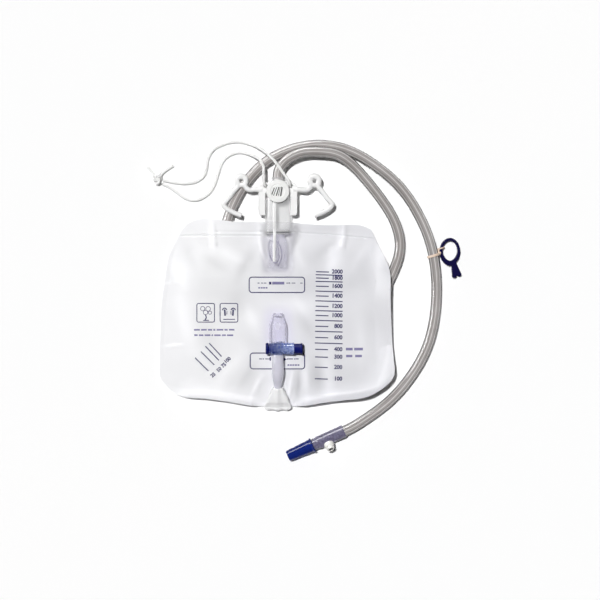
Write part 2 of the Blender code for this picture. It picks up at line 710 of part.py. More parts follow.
# The tap's clear body: a cross barrel for the stem, with the inlet and outlet spigots on one line
def build_tap_body():
    clear = plastic("clear_tap", (0.8, 0.84, 0.92), 0.1, 0.4)
    middle = (BARREL_RIGHT - BARREL_LEFT) / 2
    half = (BARREL_RIGHT + BARREL_LEFT) / 2
    body = cylinder_cutter("tap_body", TAP_RADIUS, 2 * half, tap_frame(middle), 24)
    CUTTERS.objects.unlink(body)
    BAG.objects.link(body)
    body.data.materials.append(clear)
    reach = TAP_RADIUS + TAP_SPIGOT_LENGTH
    spigots = cylinder_cutter("spigots", TAP_SPIGOT_RADIUS, 2 * reach, tap_frame(0, (0, 1, 0)), 20)
    boolean(body, spigots, "UNION")
    bore = cylinder_cutter("stem_bore", TAP_BORE, 4 * half, tap_frame(middle), 24)
    boolean(body, bore, "DIFFERENCE")
    flow = cylinder_cutter("flow_bore", FLOW_BORE, 3 * reach, tap_frame(0, (0, 1, 0)), 16)
    boolean(body, flow, "DIFFERENCE")


# The push-pull stem: seal grooves and the cross hole that lines up with the spigots when pushed in
def build_tap_stem():
    blue = plastic("blue_plastic", (0.02, 0.05, 0.35), 0.3)
    left = -BARREL_LEFT - GAP
    right = BARREL_RIGHT + GAP + STEM_TRAVEL + STEM_LIP_LENGTH
    groove = SEAL_RADIUS + GAP
    profile = [(0, right), (STEM_LIP_RADIUS - 0.0004, right), (STEM_LIP_RADIUS, right - 0.0004)]
    profile += [(STEM_LIP_RADIUS, right - STEM_LIP_LENGTH), (STEM_RADIUS, right - STEM_LIP_LENGTH)]
    for offset in reversed(SEAL_OFFSETS):
        profile += [(STEM_RADIUS, offset + groove), (RING_GROOVE_RADIUS, offset + groove)]
        profile += [(RING_GROOVE_RADIUS, offset - groove), (STEM_RADIUS, offset - groove)]
    pin_end = left - STEM_CAP_LENGTH + 0.0012
    profile += [(STEM_RADIUS, left), (STEM_PIN_RADIUS, left), (STEM_PIN_RADIUS, pin_end)]
    profile += [(0, pin_end)]
    stem = turned("tap_stem", profile, blue, tap_frame(), 18)
    hole = cylinder_cutter("cross_hole", FLOW_BORE - 0.0006, 0.03, tap_frame(STEM_TRAVEL, (0, 1, 0)), 14)
    boolean(stem, hole, "DIFFERENCE")

    clear = STEM_PIN_RADIUS + GAP
    cap_profile = [
        (clear, left - GAP), (STEM_LIP_RADIUS, left - GAP),
        (STEM_LIP_RADIUS, left - STEM_CAP_LENGTH + 0.0004),
        (STEM_LIP_RADIUS - 0.0004, left - STEM_CAP_LENGTH), (0, left - STEM_CAP_LENGTH),
        (0, pin_end - GAP), (clear, pin_end - GAP),
    ]
    capped_stem("stem_end_cap", cap_profile, blue)

    rubber = plastic("black_rubber", (0.03, 0.03, 0.04), 0.6)
    for i, offset in enumerate(SEAL_OFFSETS):
        centre = (RING_GROOVE_RADIUS + GAP + SEAL_RADIUS, offset)
        ring = arc(centre, SEAL_RADIUS, 120, -180, 6)
        turned(f"stem_seal_{i + 1}", ring, rubber, tap_frame(), 18)


# A cup open towards +X on the stem's axis: its profile starts off the axis and closes round the pin
def capped_stem(name, profile, material):
    mesh = bpy.data.meshes.new(name)
    edges = [(i, i + 1) for i in range(len(profile) - 1) if profile[i][0] or profile[i + 1][0]]
    edges.append((len(profile) - 1, 0))
    mesh.from_pydata([(radius, 0, height) for radius, height in profile], edges, [])
    obj = add_object(name, mesh, material)
    screw = obj.modifiers.new("turn", "SCREW")
    screw.steps = 24
    screw.render_steps = 24
    screw.use_merge_vertices = True
    screw.merge_threshold = 0.00001
    screw.use_smooth_shade = True
    obj.matrix_world = tap_frame()
    return obj


# The soft spout pushed over the outlet spigot
def build_spout():
    clear = plastic("clear_spout", (0.84, 0.84, 0.92), 0.15, 0.4)
    grip = TAP_SPIGOT_RADIUS + GAP
    start = TAP_RADIUS + GAP
    end = start + SPOUT_LENGTH
    inner = SPOUT_RADIUS - SPOUT_WALL
    mouth = SPOUT_TIP_RADIUS - SPOUT_WALL
    base = start + SPOUT_BASE
    profile = [
        (mouth, end), (SPOUT_TIP_RADIUS, end), (SPOUT_TIP_RADIUS, end - SPOUT_TIP),
        (SPOUT_RADIUS, start + SPOUT_BODY), (SPOUT_RADIUS, start + 0.0006),
        (SPOUT_RADIUS - 0.0006, start), (grip, start), (grip, base), (inner, base + 0.0012),
        (inner, start + SPOUT_BODY - 0.0004), (mouth, end - SPOUT_TIP - 0.0006),
    ]
    turned("drain_spout", profile, clear, tap_frame(0, (0, 1, 0)), 22)


# The soft tube from the tap's inlet spigot down into the folded neck
def outlet_stations():
    start = TAP_Y - TAP_RADIUS - GAP
    wide = TAP_SPIGOT_RADIUS + GAP + OUTLET_WALL
    narrow = OUTLET_NARROW_RADIUS
    return (
        (start, TAP_Z, wide),
        (start - 0.012, TAP_Z - 0.0004, wide + 0.0003),
        (start - 0.019, TAP_Z - 0.0018, wide + 0.0005),
        (start - 0.025, TAP_Z - 0.0040, wide - 0.0002),
        (start - 0.030, TAP_Z - 0.0062, narrow + 0.0008),
        (OUTLET_END_Y + 0.005, TAP_Z - 0.0088, narrow),
        (OUTLET_END_Y, TAP_Z - 0.0106, narrow),
    )


def build_outlet_tube():
    clear = plastic("clear_outlet", (0.82, 0.82, 0.86), 0.15, 0.45)
    stations = outlet_stations()
    outer, inner = [], []
    for i, (y, z, radius) in enumerate(stations):
        before, after = stations[max(i - 1, 0)], stations[min(i + 1, len(stations) - 1)]
        direction = Vector((after[0] - before[0], after[1] - before[1])).normalized()
        if i == 0:
            direction = Vector((-1, 0))
        outer.append(tilted_oval(AXIS_X, (y, z), direction, radius, radius, 16))
        bore = radius - OUTLET_WALL
        inner.append(tilted_oval(AXIS_X, (y, z), direction, bore, bore, 16))
    lofted("outlet_tube", outer + inner[::-1], clear, hollow=True)


# The outlet neck: a flat film sleeve that leaves the bottom weld, folds back over the front
# and closes round the outlet tube
def build_outlet_neck():
    white = plastic("neck_film", (0.86, 0.86, 0.88), 0.35)
    bag_end = BAG_END_Y
    fold_y = bag_end - 0.0007
    low_z = 0.0019
    centre = (fold_y, low_z + NECK_FOLD_RADIUS)
    stations = [((bag_end - GAP, low_z), (-1, 0), NECK_WIDE - 0.002, 0.0012)]
    for angle in (-90, -120, -150, -180, -210, -240, -270):
        a = math.radians(angle)
        place = (centre[0] + NECK_FOLD_RADIUS * math.cos(a), centre[1] + NECK_FOLD_RADIUS * math.sin(a))
        stations.append((place, (math.sin(a), -math.cos(a)), NECK_WIDE, 0.0013))
    tube = outlet_stations()
    end_y, end_z = tube[-1][0], tube[-1][1]
    stations += [
        ((bag_end + 0.0045, low_z + 0.0082), (0.95, 0.3), NECK_WIDE - 0.0022, 0.0025),
        ((end_y + 0.0002, end_z - 0.0002), (0.93, 0.36), 0.0086, OUTLET_NARROW_RADIUS + 0.0010),
        ((NECK_MOUTH_Y, end_z + 0.0024), (0.95, 0.3), NECK_MOUTH, OUTLET_NARROW_RADIUS + 0.0012),
    ]
    outer, inner = [], []
    for place, direction, half_width, half_depth in stations:
        direction = Vector(direction).normalized()
        outer.append(tilted_oval(AXIS_X, place, direction, half_width, half_depth, 14))
        inner.append(
            tilted_oval(AXIS_X, place, direction, half_width - NECK_WALL, half_depth - NECK_WALL, 14)
        )
    lofted("outlet_neck", outer + inner[::-1], white, hollow=True)


def build_drainage_tube():
    grey = plastic("tube_pvc", (0.62, 0.6, 0.6), 0.2, 0.6)
    seated = (AXIS_X, CHAMBER_TOP_Y - SOCKET_DEPTH + GAP, NECK_Z)
    points = [seated, *tube_line(70), tuple(connector_point(TUBE_INSERTION))]
    round_tube("drainage_tube", points, TUBE_RADIUS, grey, 3)


# The catheter connector: a sleeve over the tube's end and a tapered nozzle under the cap
def build_connector():
    lilac = plastic("lilac_connector", (0.6, 0.56, 0.75), 0.15, 0.6)
    socket = TUBE_RADIUS + TUBE_WALL_CLEAR
    stop = -(TUBE_INSERTION + 0.0005)
    root = -SLEEVE_LENGTH
    shank = root - SHANK_LENGTH
    tip = shank - NOZZLE_LENGTH
    profile = [
        (socket, 0), (SLEEVE_RADIUS, 0), (SLEEVE_RADIUS, root + 0.0012),
        (SHANK_RADIUS, root), (SHANK_RADIUS, shank), (NOZZLE_ROOT_RADIUS, shank),
        (NOZZLE_TIP_RADIUS, tip),
        (NOZZLE_BORE, tip), (NOZZLE_BORE, root), (socket - 0.0018, stop - 0.006),
        (socket - 0.0018, stop), (socket, stop),
    ]
    frame = facing(connector_point(0), -connector_axis())
    sleeve = turned("catheter_connector", profile, lilac, frame, 20)
    seat = cylinder_cutter("port_hole", PORT_SEAT_RADIUS + GAP, 0.012, port_frame(0.0095), 16)
    boolean(sleeve, seat, "DIFFERENCE")


# The protective cap pushed over the nozzle: closed end, lip at the mouth
def build_cap():
    blue = plastic("cap_blue", (0.02, 0.08, 0.5), 0.2)
    mouth = -(SLEEVE_LENGTH + SHANK_LENGTH + GAP)
    end = mouth - CAP_LENGTH
    mouth_bore = CAP_ROOT_RADIUS - CAP_WALL
    end_bore = CAP_END_RADIUS - CAP_WALL
    profile = [
        (mouth_bore, mouth), (CAP_LIP_RADIUS, mouth), (CAP_LIP_RADIUS, mouth - 0.0018),
        (CAP_ROOT_RADIUS, mouth - 0.0024), (CAP_END_RADIUS, end + 0.0008),
        (CAP_END_RADIUS - 0.0008, end), (0, end), (0, end + CAP_WALL), (end_bore, end + CAP_WALL),
    ]
    mesh = bpy.data.meshes.new("protective_cap")
    edges = [(i, i + 1) for i in range(len(profile) - 1) if profile[i][0] or profile[i + 1][0]]
    edges.append((len(profile) - 1, 0))
    mesh.from_pydata([(radius, 0, height) for radius, height in profile], edges, [])
    cap = add_object("protective_cap", mesh, blue)
    screw = cap.modifiers.new("turn", "SCREW")
    screw.steps = 24
    screw.render_steps = 24
    screw.use_merge_vertices = True
    screw.merge_threshold = 0.00001
    screw.use_smooth_shade = True
    cap.matrix_world = facing(connector_point(0), -connector_axis())


# A frame on the sampling port's axis, square to the connector and tilted up from the floor
def port_frame(out):
    side = Vector((-math.sin(CONNECTOR_TURN), math.cos(CONNECTOR_TURN), 0))
    direction = side * math.cos(PORT_TILT) + Vector((0, 0, math.sin(PORT_TILT)))
    return facing(connector_point(PORT_ALONG) + direction * out, direction)


def build_port():
    white = plastic("port_white", (0.88, 0.87, 0.84), 0.25)
    ball = PORT_BALL_RADIUS
    centre = PORT_BALL_OUT
    mouth = PORT_NOZZLE_OUT
    root = SLEEVE_RADIUS * 0.5
    clear_of_sleeve = SLEEVE_RADIUS + 2 * GAP
    lowest = math.degrees(math.asin((clear_of_sleeve - centre + 0.0009) / ball))
    nozzle_start = math.degrees(math.asin(math.sqrt(1 - (PORT_NOZZLE_RADIUS / ball) ** 2)))
    round_part = arc((0, centre), ball, nozzle_start, lowest, 8)
    seat = PORT_SEAT_RADIUS
    pocket = mouth - SEPTUM_THICKNESS - 2 * GAP
    profile = [(seat, mouth), (PORT_NOZZLE_RADIUS - 0.0004, mouth)]
    profile += [(PORT_NOZZLE_RADIUS, mouth - 0.0004)] + round_part
    profile += [(seat - GAP, round_part[-1][1]), (seat - GAP, root + 0.0012)]
    profile += [(0.0010, root + 0.0012), (0.0010, pocket), (seat, pocket)]
    turned("sampling_port", profile, white, port_frame(0), 18)
    rubber = plastic("septum_rubber", (0.08, 0.08, 0.08), 0.7)
    disc_top = mouth - GAP
    disc = [
        (0, disc_top), (seat - GAP, disc_top), (seat - GAP, disc_top - SEPTUM_THICKNESS),
        (0, disc_top - SEPTUM_THICKNESS),
    ]
    turned("port_septum", disc, rubber, port_frame(0), 18)


# The rubber band: a flat loop stretched round the tube and one bar of the clip
def clip_bar_point():
    return (CLIP_CENTRE[0] - CLIP_HALF_WIDTH + CLIP_BAR / 2 + 0.0006, CLIP_CENTRE[1] - 0.0034)


def clip_base_z(x):
    return 0.0002 + (CLIP_CENTRE[0] + CLIP_HALF_WIDTH - x) * math.tan(CLIP_TILT)


def build_band():
    beige = plastic("band_rubber", (0.72, 0.58, 0.48), 0.6)
    coarse = tube_line(70)
    shares = np.linspace(0, len(coarse) - 1, 900)
    line = np.stack([np.interp(shares, range(len(coarse)), coarse[:, k]) for k in range(3)], 1)
    bar = Vector((*clip_bar_point(), 0))
    flat = line.copy()
    flat[:, 2] = 0
    nearest = min(range(len(line)), key=lambda i: (Vector(flat[i]) - bar).length)
    tube = Vector(line[nearest])
    heading = (Vector(line[nearest + 1]) - Vector(line[nearest - 1])).normalized()
    across = Vector((bar.x - tube.x, bar.y - tube.y, 0))
    across = (across - heading * across.dot(heading)).normalized()
    bar_centre = clip_base_z(bar.x) + CLIP_THICKNESS / 2
    near = TUBE_RADIUS + GAP + BAND_THICKNESS / 2
    far = math.hypot(CLIP_BAR / 2, CLIP_THICKNESS / 2) + 3 * GAP + BAND_THICKNESS / 2
    span = Vector((bar.x - tube.x, bar.y - tube.y, 0)).dot(across)
    circles = ((0.0, tube.z, near), (span, bar_centre, far))
    path = belt(circles)
    rings = []
    for (u, z), (nu, nz) in path:
        place = Vector((tube.x, tube.y, 0)) + across * u + Vector((0, 0, z))
        normal = across * nu + Vector((0, 0, nz))
        side = heading * (BAND_WIDTH / 2)
        half = normal * (BAND_THICKNESS / 2)
        rings.append([place + side + half, place - side + half, place - side - half, place + side - half])
    lofted("rubber_band", rings, beige, hollow=True)


# The closed line of a belt round two circles, each point with its outward normal
def belt(circles):
    (u1, z1, r1), (u2, z2, r2) = circles
    apart = math.hypot(u2 - u1, z2 - z1)
    lean = math.atan2(z2 - z1, u2 - u1)
    open_angle = math.acos((r1 - r2) / apart)
    path = []
    for centre_u, centre_z, radius, start, end, count in (
        (u1, z1, r1, lean + open_angle, lean + 2 * math.pi - open_angle, 15),
        (u2, z2, r2, lean - open_angle, lean + open_angle, 9),
    ):
        for i in range(count):
            a = start + (end - start) * i / (count - 1)
            normal = (math.cos(a), math.sin(a))
            path.append(((centre_u + radius * normal[0], centre_z + radius * normal[1]), normal))
    return path


# The sheet clip: an egg-shaped ring that runs out into two sprung prongs
def build_clip():
    navy = plastic("clip_navy", (0.02, 0.02, 0.16), 0.35)
    count = 28

    def egg(half_width, half_length, shift):
        points = []
        for i in range(count):
            a = 2 * math.pi * i / count
            narrow = 1 - 0.16 * max(0, -math.sin(a)) ** 2
            points.append((half_width * narrow * math.cos(a), shift + half_length * math.sin(a)))
        return points

    inner_width = CLIP_HALF_WIDTH - CLIP_BAR
    inner_length = CLIP_HALF_LENGTH - CLIP_BAR - 0.0012
    outlines = [egg(CLIP_HALF_WIDTH, CLIP_HALF_LENGTH, 0), egg(inner_width, inner_length, 0.0012)]
    ring = flat_plate("sheet_clip", outlines, CLIP_THICKNESS)
    ring = to_mesh_object(ring)
    ring.data.materials.append(navy)
    root_y = -CLIP_HALF_LENGTH + CLIP_BAR
    for side in (-1, 1):
        end = (PRONG_REACH + side * PRONG_SPREAD, root_y - PRONG_LENGTH + side * 0.0008)
        lean = math.atan2(end[1] - root_y, end[0] - PRONG_ROOT)
        turn = math.degrees(lean)
        outline = arc((PRONG_ROOT, root_y), PRONG_RADIUS, turn + 90, turn + 270, 7)
        outline += arc(end, PRONG_RADIUS, turn - 90, turn + 90, 7)
        prong = to_mesh_object(flat_plate(f"prong_{side}", [outline], CLIP_THICKNESS - 0.0002))
        boolean(ring, prong, "UNION")
    lift = clip_base_z(CLIP_CENTRE[0]) + CLIP_THICKNESS / 2 / math.cos(CLIP_TILT)
    turned_over = Matrix.Rotation(CLIP_TILT, 4, "Y")
    ring.matrix_world = Matrix.Translation((*CLIP_CENTRE, lift)) @ turned_over
    for modifier in ring.modifiers:
        modifier.object.matrix_world = ring.matrix_world


# The hanging cord: two strands through the eyelets, tied in one knot with two short tails
def build_cord():
    white = plastic("white_cord", (0.88, 0.88, 0.86), 0.8)
    round_tube("cord_strand_right", smooth_line(millimetres(RIGHT_STRAND), 44), CORD_RADIUS, white, 2)
    round_tube("cord_strand_left", smooth_line(millimetres(LEFT_STRAND), 43), CORD_RADIUS, white, 2)
    bm = bmesh.new()
    bmesh.ops.create_uvsphere(bm, u_segments=14, v_segments=8, radius=1)
    bmesh.ops.scale(bm, vec=KNOT_SIZE, verts=bm.verts)
    bmesh.ops.translate(bm, vec=KNOT_CENTRE, verts=bm.verts)
    knot = add_object("cord_knot", mesh_from(bm, "cord_knot"), white)
    for i, tail in enumerate(KNOT_TAILS):
        points = smooth_line(millimetres(tail), 5)
        strand = to_mesh_object(round_tube(f"tail_{i}", points, CORD_RADIUS, None, 2))
        boolean(knot, strand, "UNION")


build_films()
build_hanger()
build_chamber()
build_valve()
build_vent()
build_tap_body()
build_tap_stem()
build_spout()
build_outlet_tube()
build_outlet_neck()
build_drainage_tube()
build_connector()
build_cap()
build_port()
build_band()
build_clip()
build_cord()
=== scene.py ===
# Urine drainage bag lying on a white sheet, seen from straight above
import json
import math

import bmesh
import bpy
import numpy as np
from mathutils import Matrix, Vector
from mathutils.bvhtree import BVHTree

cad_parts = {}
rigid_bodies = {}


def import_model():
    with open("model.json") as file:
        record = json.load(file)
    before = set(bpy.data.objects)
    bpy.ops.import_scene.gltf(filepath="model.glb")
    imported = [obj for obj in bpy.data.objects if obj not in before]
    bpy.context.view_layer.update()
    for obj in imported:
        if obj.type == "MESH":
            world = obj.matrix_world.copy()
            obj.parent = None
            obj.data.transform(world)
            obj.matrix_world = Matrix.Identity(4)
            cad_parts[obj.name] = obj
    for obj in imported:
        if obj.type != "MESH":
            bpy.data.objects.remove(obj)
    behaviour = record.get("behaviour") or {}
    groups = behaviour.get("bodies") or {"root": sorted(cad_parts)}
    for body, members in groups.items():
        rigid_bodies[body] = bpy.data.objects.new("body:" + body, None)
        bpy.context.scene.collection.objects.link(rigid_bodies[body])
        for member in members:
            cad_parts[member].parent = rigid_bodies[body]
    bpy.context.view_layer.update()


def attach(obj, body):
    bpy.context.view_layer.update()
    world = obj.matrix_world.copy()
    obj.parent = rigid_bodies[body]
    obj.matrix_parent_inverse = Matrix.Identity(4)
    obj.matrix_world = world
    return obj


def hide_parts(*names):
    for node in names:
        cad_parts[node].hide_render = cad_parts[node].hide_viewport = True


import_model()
scene = bpy.context.scene
scene.view_settings.view_transform = "Standard"
axisX = 0.0013  # hanger, chamber, tap and neck share this line


def addPiece(name, data, material, body="bag", sharp=35):
    if isinstance(data, bmesh.types.BMesh):
        data = meshFrom(data, name, sharp)
    obj = bpy.data.objects.new(name, data)
    scene.collection.objects.link(obj)
    if material:
        data.materials.append(material)
    if body:
        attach(obj, body)
    return obj


def meshFrom(bm, name, sharp, closed=True):
    if closed:
        bmesh.ops.recalc_face_normals(bm, faces=bm.faces)
    mesh = bpy.data.meshes.new(name)
    bm.to_mesh(mesh)
    bm.free()
    mesh.shade_smooth()
    if sharp:
        mesh.set_sharp_from_angle(angle=math.radians(sharp))
    return mesh


# natural cubic spline through the points, read at equal shares of its chord length
def smoothLine(points, count):
    p = np.array(points, float)
    t = np.concatenate([[0], np.cumsum(np.linalg.norm(np.diff(p, axis=0), axis=1))])
    h = np.diff(t)
    slopes = np.diff(p, axis=0) / h[:, None]
    system, right = np.eye(len(p)), np.zeros_like(p)
    for i in range(1, len(p) - 1):
        system[i, i - 1 : i + 2] = h[i - 1], 2 * (h[i - 1] + h[i]), h[i]
        right[i] = 6 * (slopes[i] - slopes[i - 1])
    bend = np.linalg.solve(system, right)
    at = np.linspace(0, t[-1], count)
    i = np.clip(np.searchsorted(t, at, side="right") - 1, 0, len(h) - 1)
    s = (at - t[i])[:, None]
    first = slopes[i] - h[i, None] * (2 * bend[i] + bend[i + 1]) / 6
    return p[i] + first * s + bend[i] / 2 * s**2 + (bend[i + 1] - bend[i]) / (6 * h[i, None]) * s**3


# the pixel of the photograph that lies at x = y = 0, and how many metres one pixel covers
photoSet = {"x": 276.75, "y": 292, "pixel": 0.00105}


# a place read on the photograph, as metres on the floor
def photoPoint(x, y):
    return ((x - photoSet["x"]) * photoSet["pixel"], (photoSet["y"] - y) * photoSet["pixel"])


def metres(points):
    return [tuple(value / 1000 for value in point) for point in points]


# point, side and up along a line, without twist
def framesAlong(line, firstSide):
    line = [Vector(p) for p in line]
    tangents = []
    for i in range(len(line)):
        before, after = line[max(i - 1, 0)], line[min(i + 1, len(line) - 1)]
        tangents.append((after - before).normalized())
    side = Vector(firstSide) if firstSide else tangents[0].orthogonal()
    frames = []
    for point, tangent in zip(line, tangents):
        side = (side - tangent * side.dot(tangent)).normalized()
        frames.append((point, side, tangent.cross(side)))
    return frames


# the angles of points spread evenly round a circle
def circle(count):
    return [2 * math.pi * k / count for k in range(count)]


# a swept tube; radiusAt(share, angle) may shape it
def sweep(bm, line, radius, sides, radiusAt=None, firstSide=None):
    loops = []
    frames = framesAlong(line, firstSide)
    for i, (point, side, up) in enumerate(frames):
        loop = []
        for angle in circle(sides):
            reach = radius * (radiusAt(i / (len(frames) - 1), angle) if radiusAt else 1)
            out = side * (reach * math.cos(angle)) + up * (reach * math.sin(angle))
            loop.append(bm.verts.new(point + out))
        loops.append(loop)
    closeEnds(bm, loops)


# quads between loops of equally many points
def skin(bm, loops, closed=False):
    pairs = list(zip(loops, loops[1:]))
    if closed:
        pairs.append((loops[-1], loops[0]))
    for low, high in pairs:
        for i in range(len(low)):
            j = (i + 1) % len(low)
            bm.faces.new((low[i], low[j], high[j], high[i]))


# the same, with a face over each end
def closeEnds(bm, loops):
    skin(bm, loops)
    bm.faces.new(loops[0])
    bm.faces.new(loops[-1])


# rings of points joined in order into a closed form
def loft(bm, rings):
    closeEnds(bm, [[bm.verts.new(point) for point in ring] for ring in rings])


def loftedPiece(name, rings, material, sharp):
    bm = bmesh.new()
    loft(bm, rings)
    return addPiece(name, bm, material, sharp=sharp)


def facing(place, direction):
    turn = Vector(direction).to_track_quat("Z", "Y").to_matrix().to_4x4()
    return Matrix.Translation(place) @ turn


# a profile of (radius, height) that stays off the axis is a closed ring
def isRing(profile):
    return profile[0][0] > 1e-7


# the profile with its corners rounded
def softProfile(profile, radius):
    points, ends = [], () if isRing(profile) else (0, len(profile) - 1)
    for i, corner in enumerate(profile):
        if i in ends:
            points.append(corner)
            continue
        here = Vector(corner)
        before, after = Vector(profile[i - 1]), Vector(profile[(i + 1) % len(profile)])
        reach = min(radius, (before - here).length * 0.45, (after - here).length * 0.45)
        start = here + (before - here).normalized() * reach
        end = here + (after - here).normalized() * reach
        for t in (0, 0.25, 0.5, 0.75, 1):
            points.append(tuple(start * (1 - t) ** 2 + here * (2 * t * (1 - t)) + end * t**2))
    return points


# the profile turned round the Z axis of the matrix
def lathe(bm, profile, matrix, steps):
    loops = []
    for radius, height in profile:
        onAxis = radius < 1e-7
        ring = [(radius * math.cos(a), radius * math.sin(a), height) for a in circle(steps)]
        ring = [(0, 0, height)] if onAxis else ring
        loops.append([bm.verts.new(matrix @ Vector(point)) for point in ring])
    pairs = list(zip(loops, loops[1:]))
    if isRing(profile):
        pairs.append((loops[-1], loops[0]))
    for low, high in pairs:
        for i in range(steps):
            j = (i + 1) % steps
            edges = [(loop[i % len(loop)], loop[j % len(loop)]) for loop in (low, high)]
            corners = dict.fromkeys((*edges[0], *reversed(edges[1])))  # the axis point counts once
            if len(corners) > 2:
                bm.faces.new(list(corners))


def turnedPiece(name, profile, matrix, material, steps, rounding, body="bag"):
    bm = bmesh.new()
    lathe(bm, softProfile(profile, rounding), matrix, steps)
    return addPiece(name, bm, material, body)


def oval(x, y, z, halfWidth, halfDepth, sides):
    return [(x + halfWidth * math.cos(a), y, z + halfDepth * math.sin(a)) for a in circle(sides)]


# upper half of an oval, for clear sleeves that lie on the film
def arch(x, y, z, halfWidth, halfDepth):
    angles = np.linspace(0, math.pi, 41).tolist()
    return [(x + halfWidth * math.cos(a), y, z + halfDepth * math.sin(a)) for a in angles]


def archShell(bm, rings):
    rows = [[bm.verts.new(point) for point in ring] for ring in rings]
    for low, high in zip(rows, rows[1:]):
        for i in range(len(low) - 1):
            bm.faces.new((low[i], low[i + 1], high[i + 1], high[i]))


# the mesh that an object shows, with its modifiers or curve settings in it
def shownMesh(obj):
    bpy.context.view_layer.update()
    shown = obj.evaluated_get(bpy.context.evaluated_depsgraph_get())
    return bpy.data.meshes.new_from_object(shown)


def applyModifiers(obj):
    mesh = shownMesh(obj)
    obj.modifiers.clear()
    obj.data = mesh


# a curve or a text is needed only for its mesh
def curveMesh(curve):
    obj = bpy.data.objects.new(curve.name, curve)
    scene.collection.objects.link(obj)
    mesh = shownMesh(obj)
    bpy.data.objects.remove(obj)
    bpy.data.curves.remove(curve)
    return mesh


# finishes: a socket takes another node's output, a number or a colour
def setSockets(tree, node, sockets):
    for socket, value in sockets.items():
        if isinstance(value, bpy.types.NodeSocket):
            tree.links.new(value, node.inputs[socket])
        else:
            node.inputs[socket].default_value = value


def noiseNode(tree, place, scale, detail, distortion=0.0):
    node = tree.nodes.new("ShaderNodeTexNoise")
    values = {"Vector": place, "Scale": scale, "Detail": detail, "Distortion": distortion}
    setSockets(tree, node, values)
    return node.outputs["Fac"]


def rangeNode(tree, value, low=0.0, high=1.0, toLow=0.0, toHigh=1.0, way="LINEAR"):
    node = tree.nodes.new("ShaderNodeMapRange")
    node.interpolation_type = way
    values = {"Value": value, "From Min": low, "From Max": high, "To Min": toLow, "To Max": toHigh}
    setSockets(tree, node, values)
    return node.outputs["Result"]


def mathNode(tree, operation, *values):
    node = tree.nodes.new("ShaderNodeMath")
    node.operation = operation
    setSockets(tree, node, dict(enumerate(values)))
    return node.outputs["Value"]


def bumpNode(tree, height, strength, distance):
    node = tree.nodes.new("ShaderNodeBump")
    setSockets(tree, node, {"Height": height, "Strength": strength, "Distance": distance})
    return node.outputs["Normal"]


def layerNode(tree, name):
    node = tree.nodes.new("ShaderNodeAttribute")
    node.attribute_name = name
    return node.outputs["Fac"]


def multiplyNode(tree, share, colour, by):
    node = tree.nodes.new("ShaderNodeMix")
    node.data_type = "RGBA"
    node.blend_type = "MULTIPLY"
    setSockets(tree, node, {"Factor": share, "A": colour, "B": by})
    return node.outputs["Result"]


# how far along x of the object a point lies
def alongX(tree):
    split = tree.nodes.new("ShaderNodeSeparateXYZ")
    setSockets(tree, split, {"Vector": tree.nodes["Texture Coordinate"].outputs["Object"]})
    return split.outputs["X"]


# colour drifts slowly between two tones, and a fine grain goes into gloss and height;
# with an edge value it is clear plastic, which looks denser towards its outline.
# each piece's dictionary gives these values in the order that they have here
def finish(
    name, colour, roughness, second, patch, grain, depth,
    alpha=1.0, edge=None, coat=0.0, specular=0.5,
):
    material = bpy.data.materials.new(name)
    material.use_nodes = True
    tree = material.node_tree
    place = tree.nodes.new("ShaderNodeTexCoord").outputs["Object"]
    drift = noiseNode(tree, place, patch, 3)
    ramp = tree.nodes.new("ShaderNodeValToRGB")
    for stop, position, tone in zip(ramp.color_ramp.elements, (0.32, 0.68), (second, colour)):
        stop.position, stop.color = position, (*tone, 1)
    setSockets(tree, ramp, {"Fac": drift})
    fine = noiseNode(tree, place, grain, 4)
    gloss = rangeNode(tree, fine, toLow=roughness * 0.8, toHigh=roughness * 1.25)
    opacity = alpha
    relief = bumpNode(tree, fine, depth * 10, 0.0001)
    if edge is not None:
        weight = tree.nodes.new("ShaderNodeLayerWeight")
        setSockets(tree, weight, {"Blend": 0.35})
        opacity = rangeNode(tree, weight.outputs["Facing"], low=0.25, toLow=alpha, toHigh=edge)
        opacity.node.name = "density"
    setSockets(tree, tree.nodes["Principled BSDF"], {
        "Base Color": ramp.outputs["Color"], "Roughness": gloss, "Normal": relief, "Alpha": opacity,
        "Coat Weight": coat, "Coat Roughness": 0.06, "Specular IOR Level": specular,
    })
    return material


# stage, lights and camera
stageSet = {
    "floor": (0.999, 0.999, 0.999),
    "overhead": 0.5,
    "horizon": 0.14,
    "glossWhite": 0.2,
    "key": {"aim": (-0.17, 0.19, 1.0), "size": 3, "power": 3.13},
    "window": {"aim": (-1.0, 1.02, 0.78), "distance": 6, "wide": 12, "long": 2.2, "power": 1600},
    "camera": {"centre": (0.0244, -0.0084), "height": 2.4, "view": 0.63, "sensor": 36},
}


def addLamp(data, place, aim):
    lamp = bpy.data.objects.new(data.name, data)
    lamp.location = place
    lamp.rotation_euler = (-Vector(aim)).to_track_quat("-Z", "Y").to_euler()
    scene.collection.objects.link(lamp)
    return lamp


def sunLight(aim, size, power):
    data = bpy.data.lights.new("key", "SUN")
    data.angle = math.radians(size)
    data.energy = power
    addLamp(data, aim, aim).visible_glossy = False  # gloss shows the window alone


# a long window on the upper left; only gloss shows it, as streaks on tube and cap
def softBox(aim, distance, wide, long, power):
    data = bpy.data.lights.new("window", "AREA")
    data.shape = "RECTANGLE"
    data.size, data.size_y = wide, long
    data.energy = power
    lamp = addLamp(data, Vector(aim).normalized() * distance, aim)
    lamp.visible_diffuse = lamp.visible_camera = False


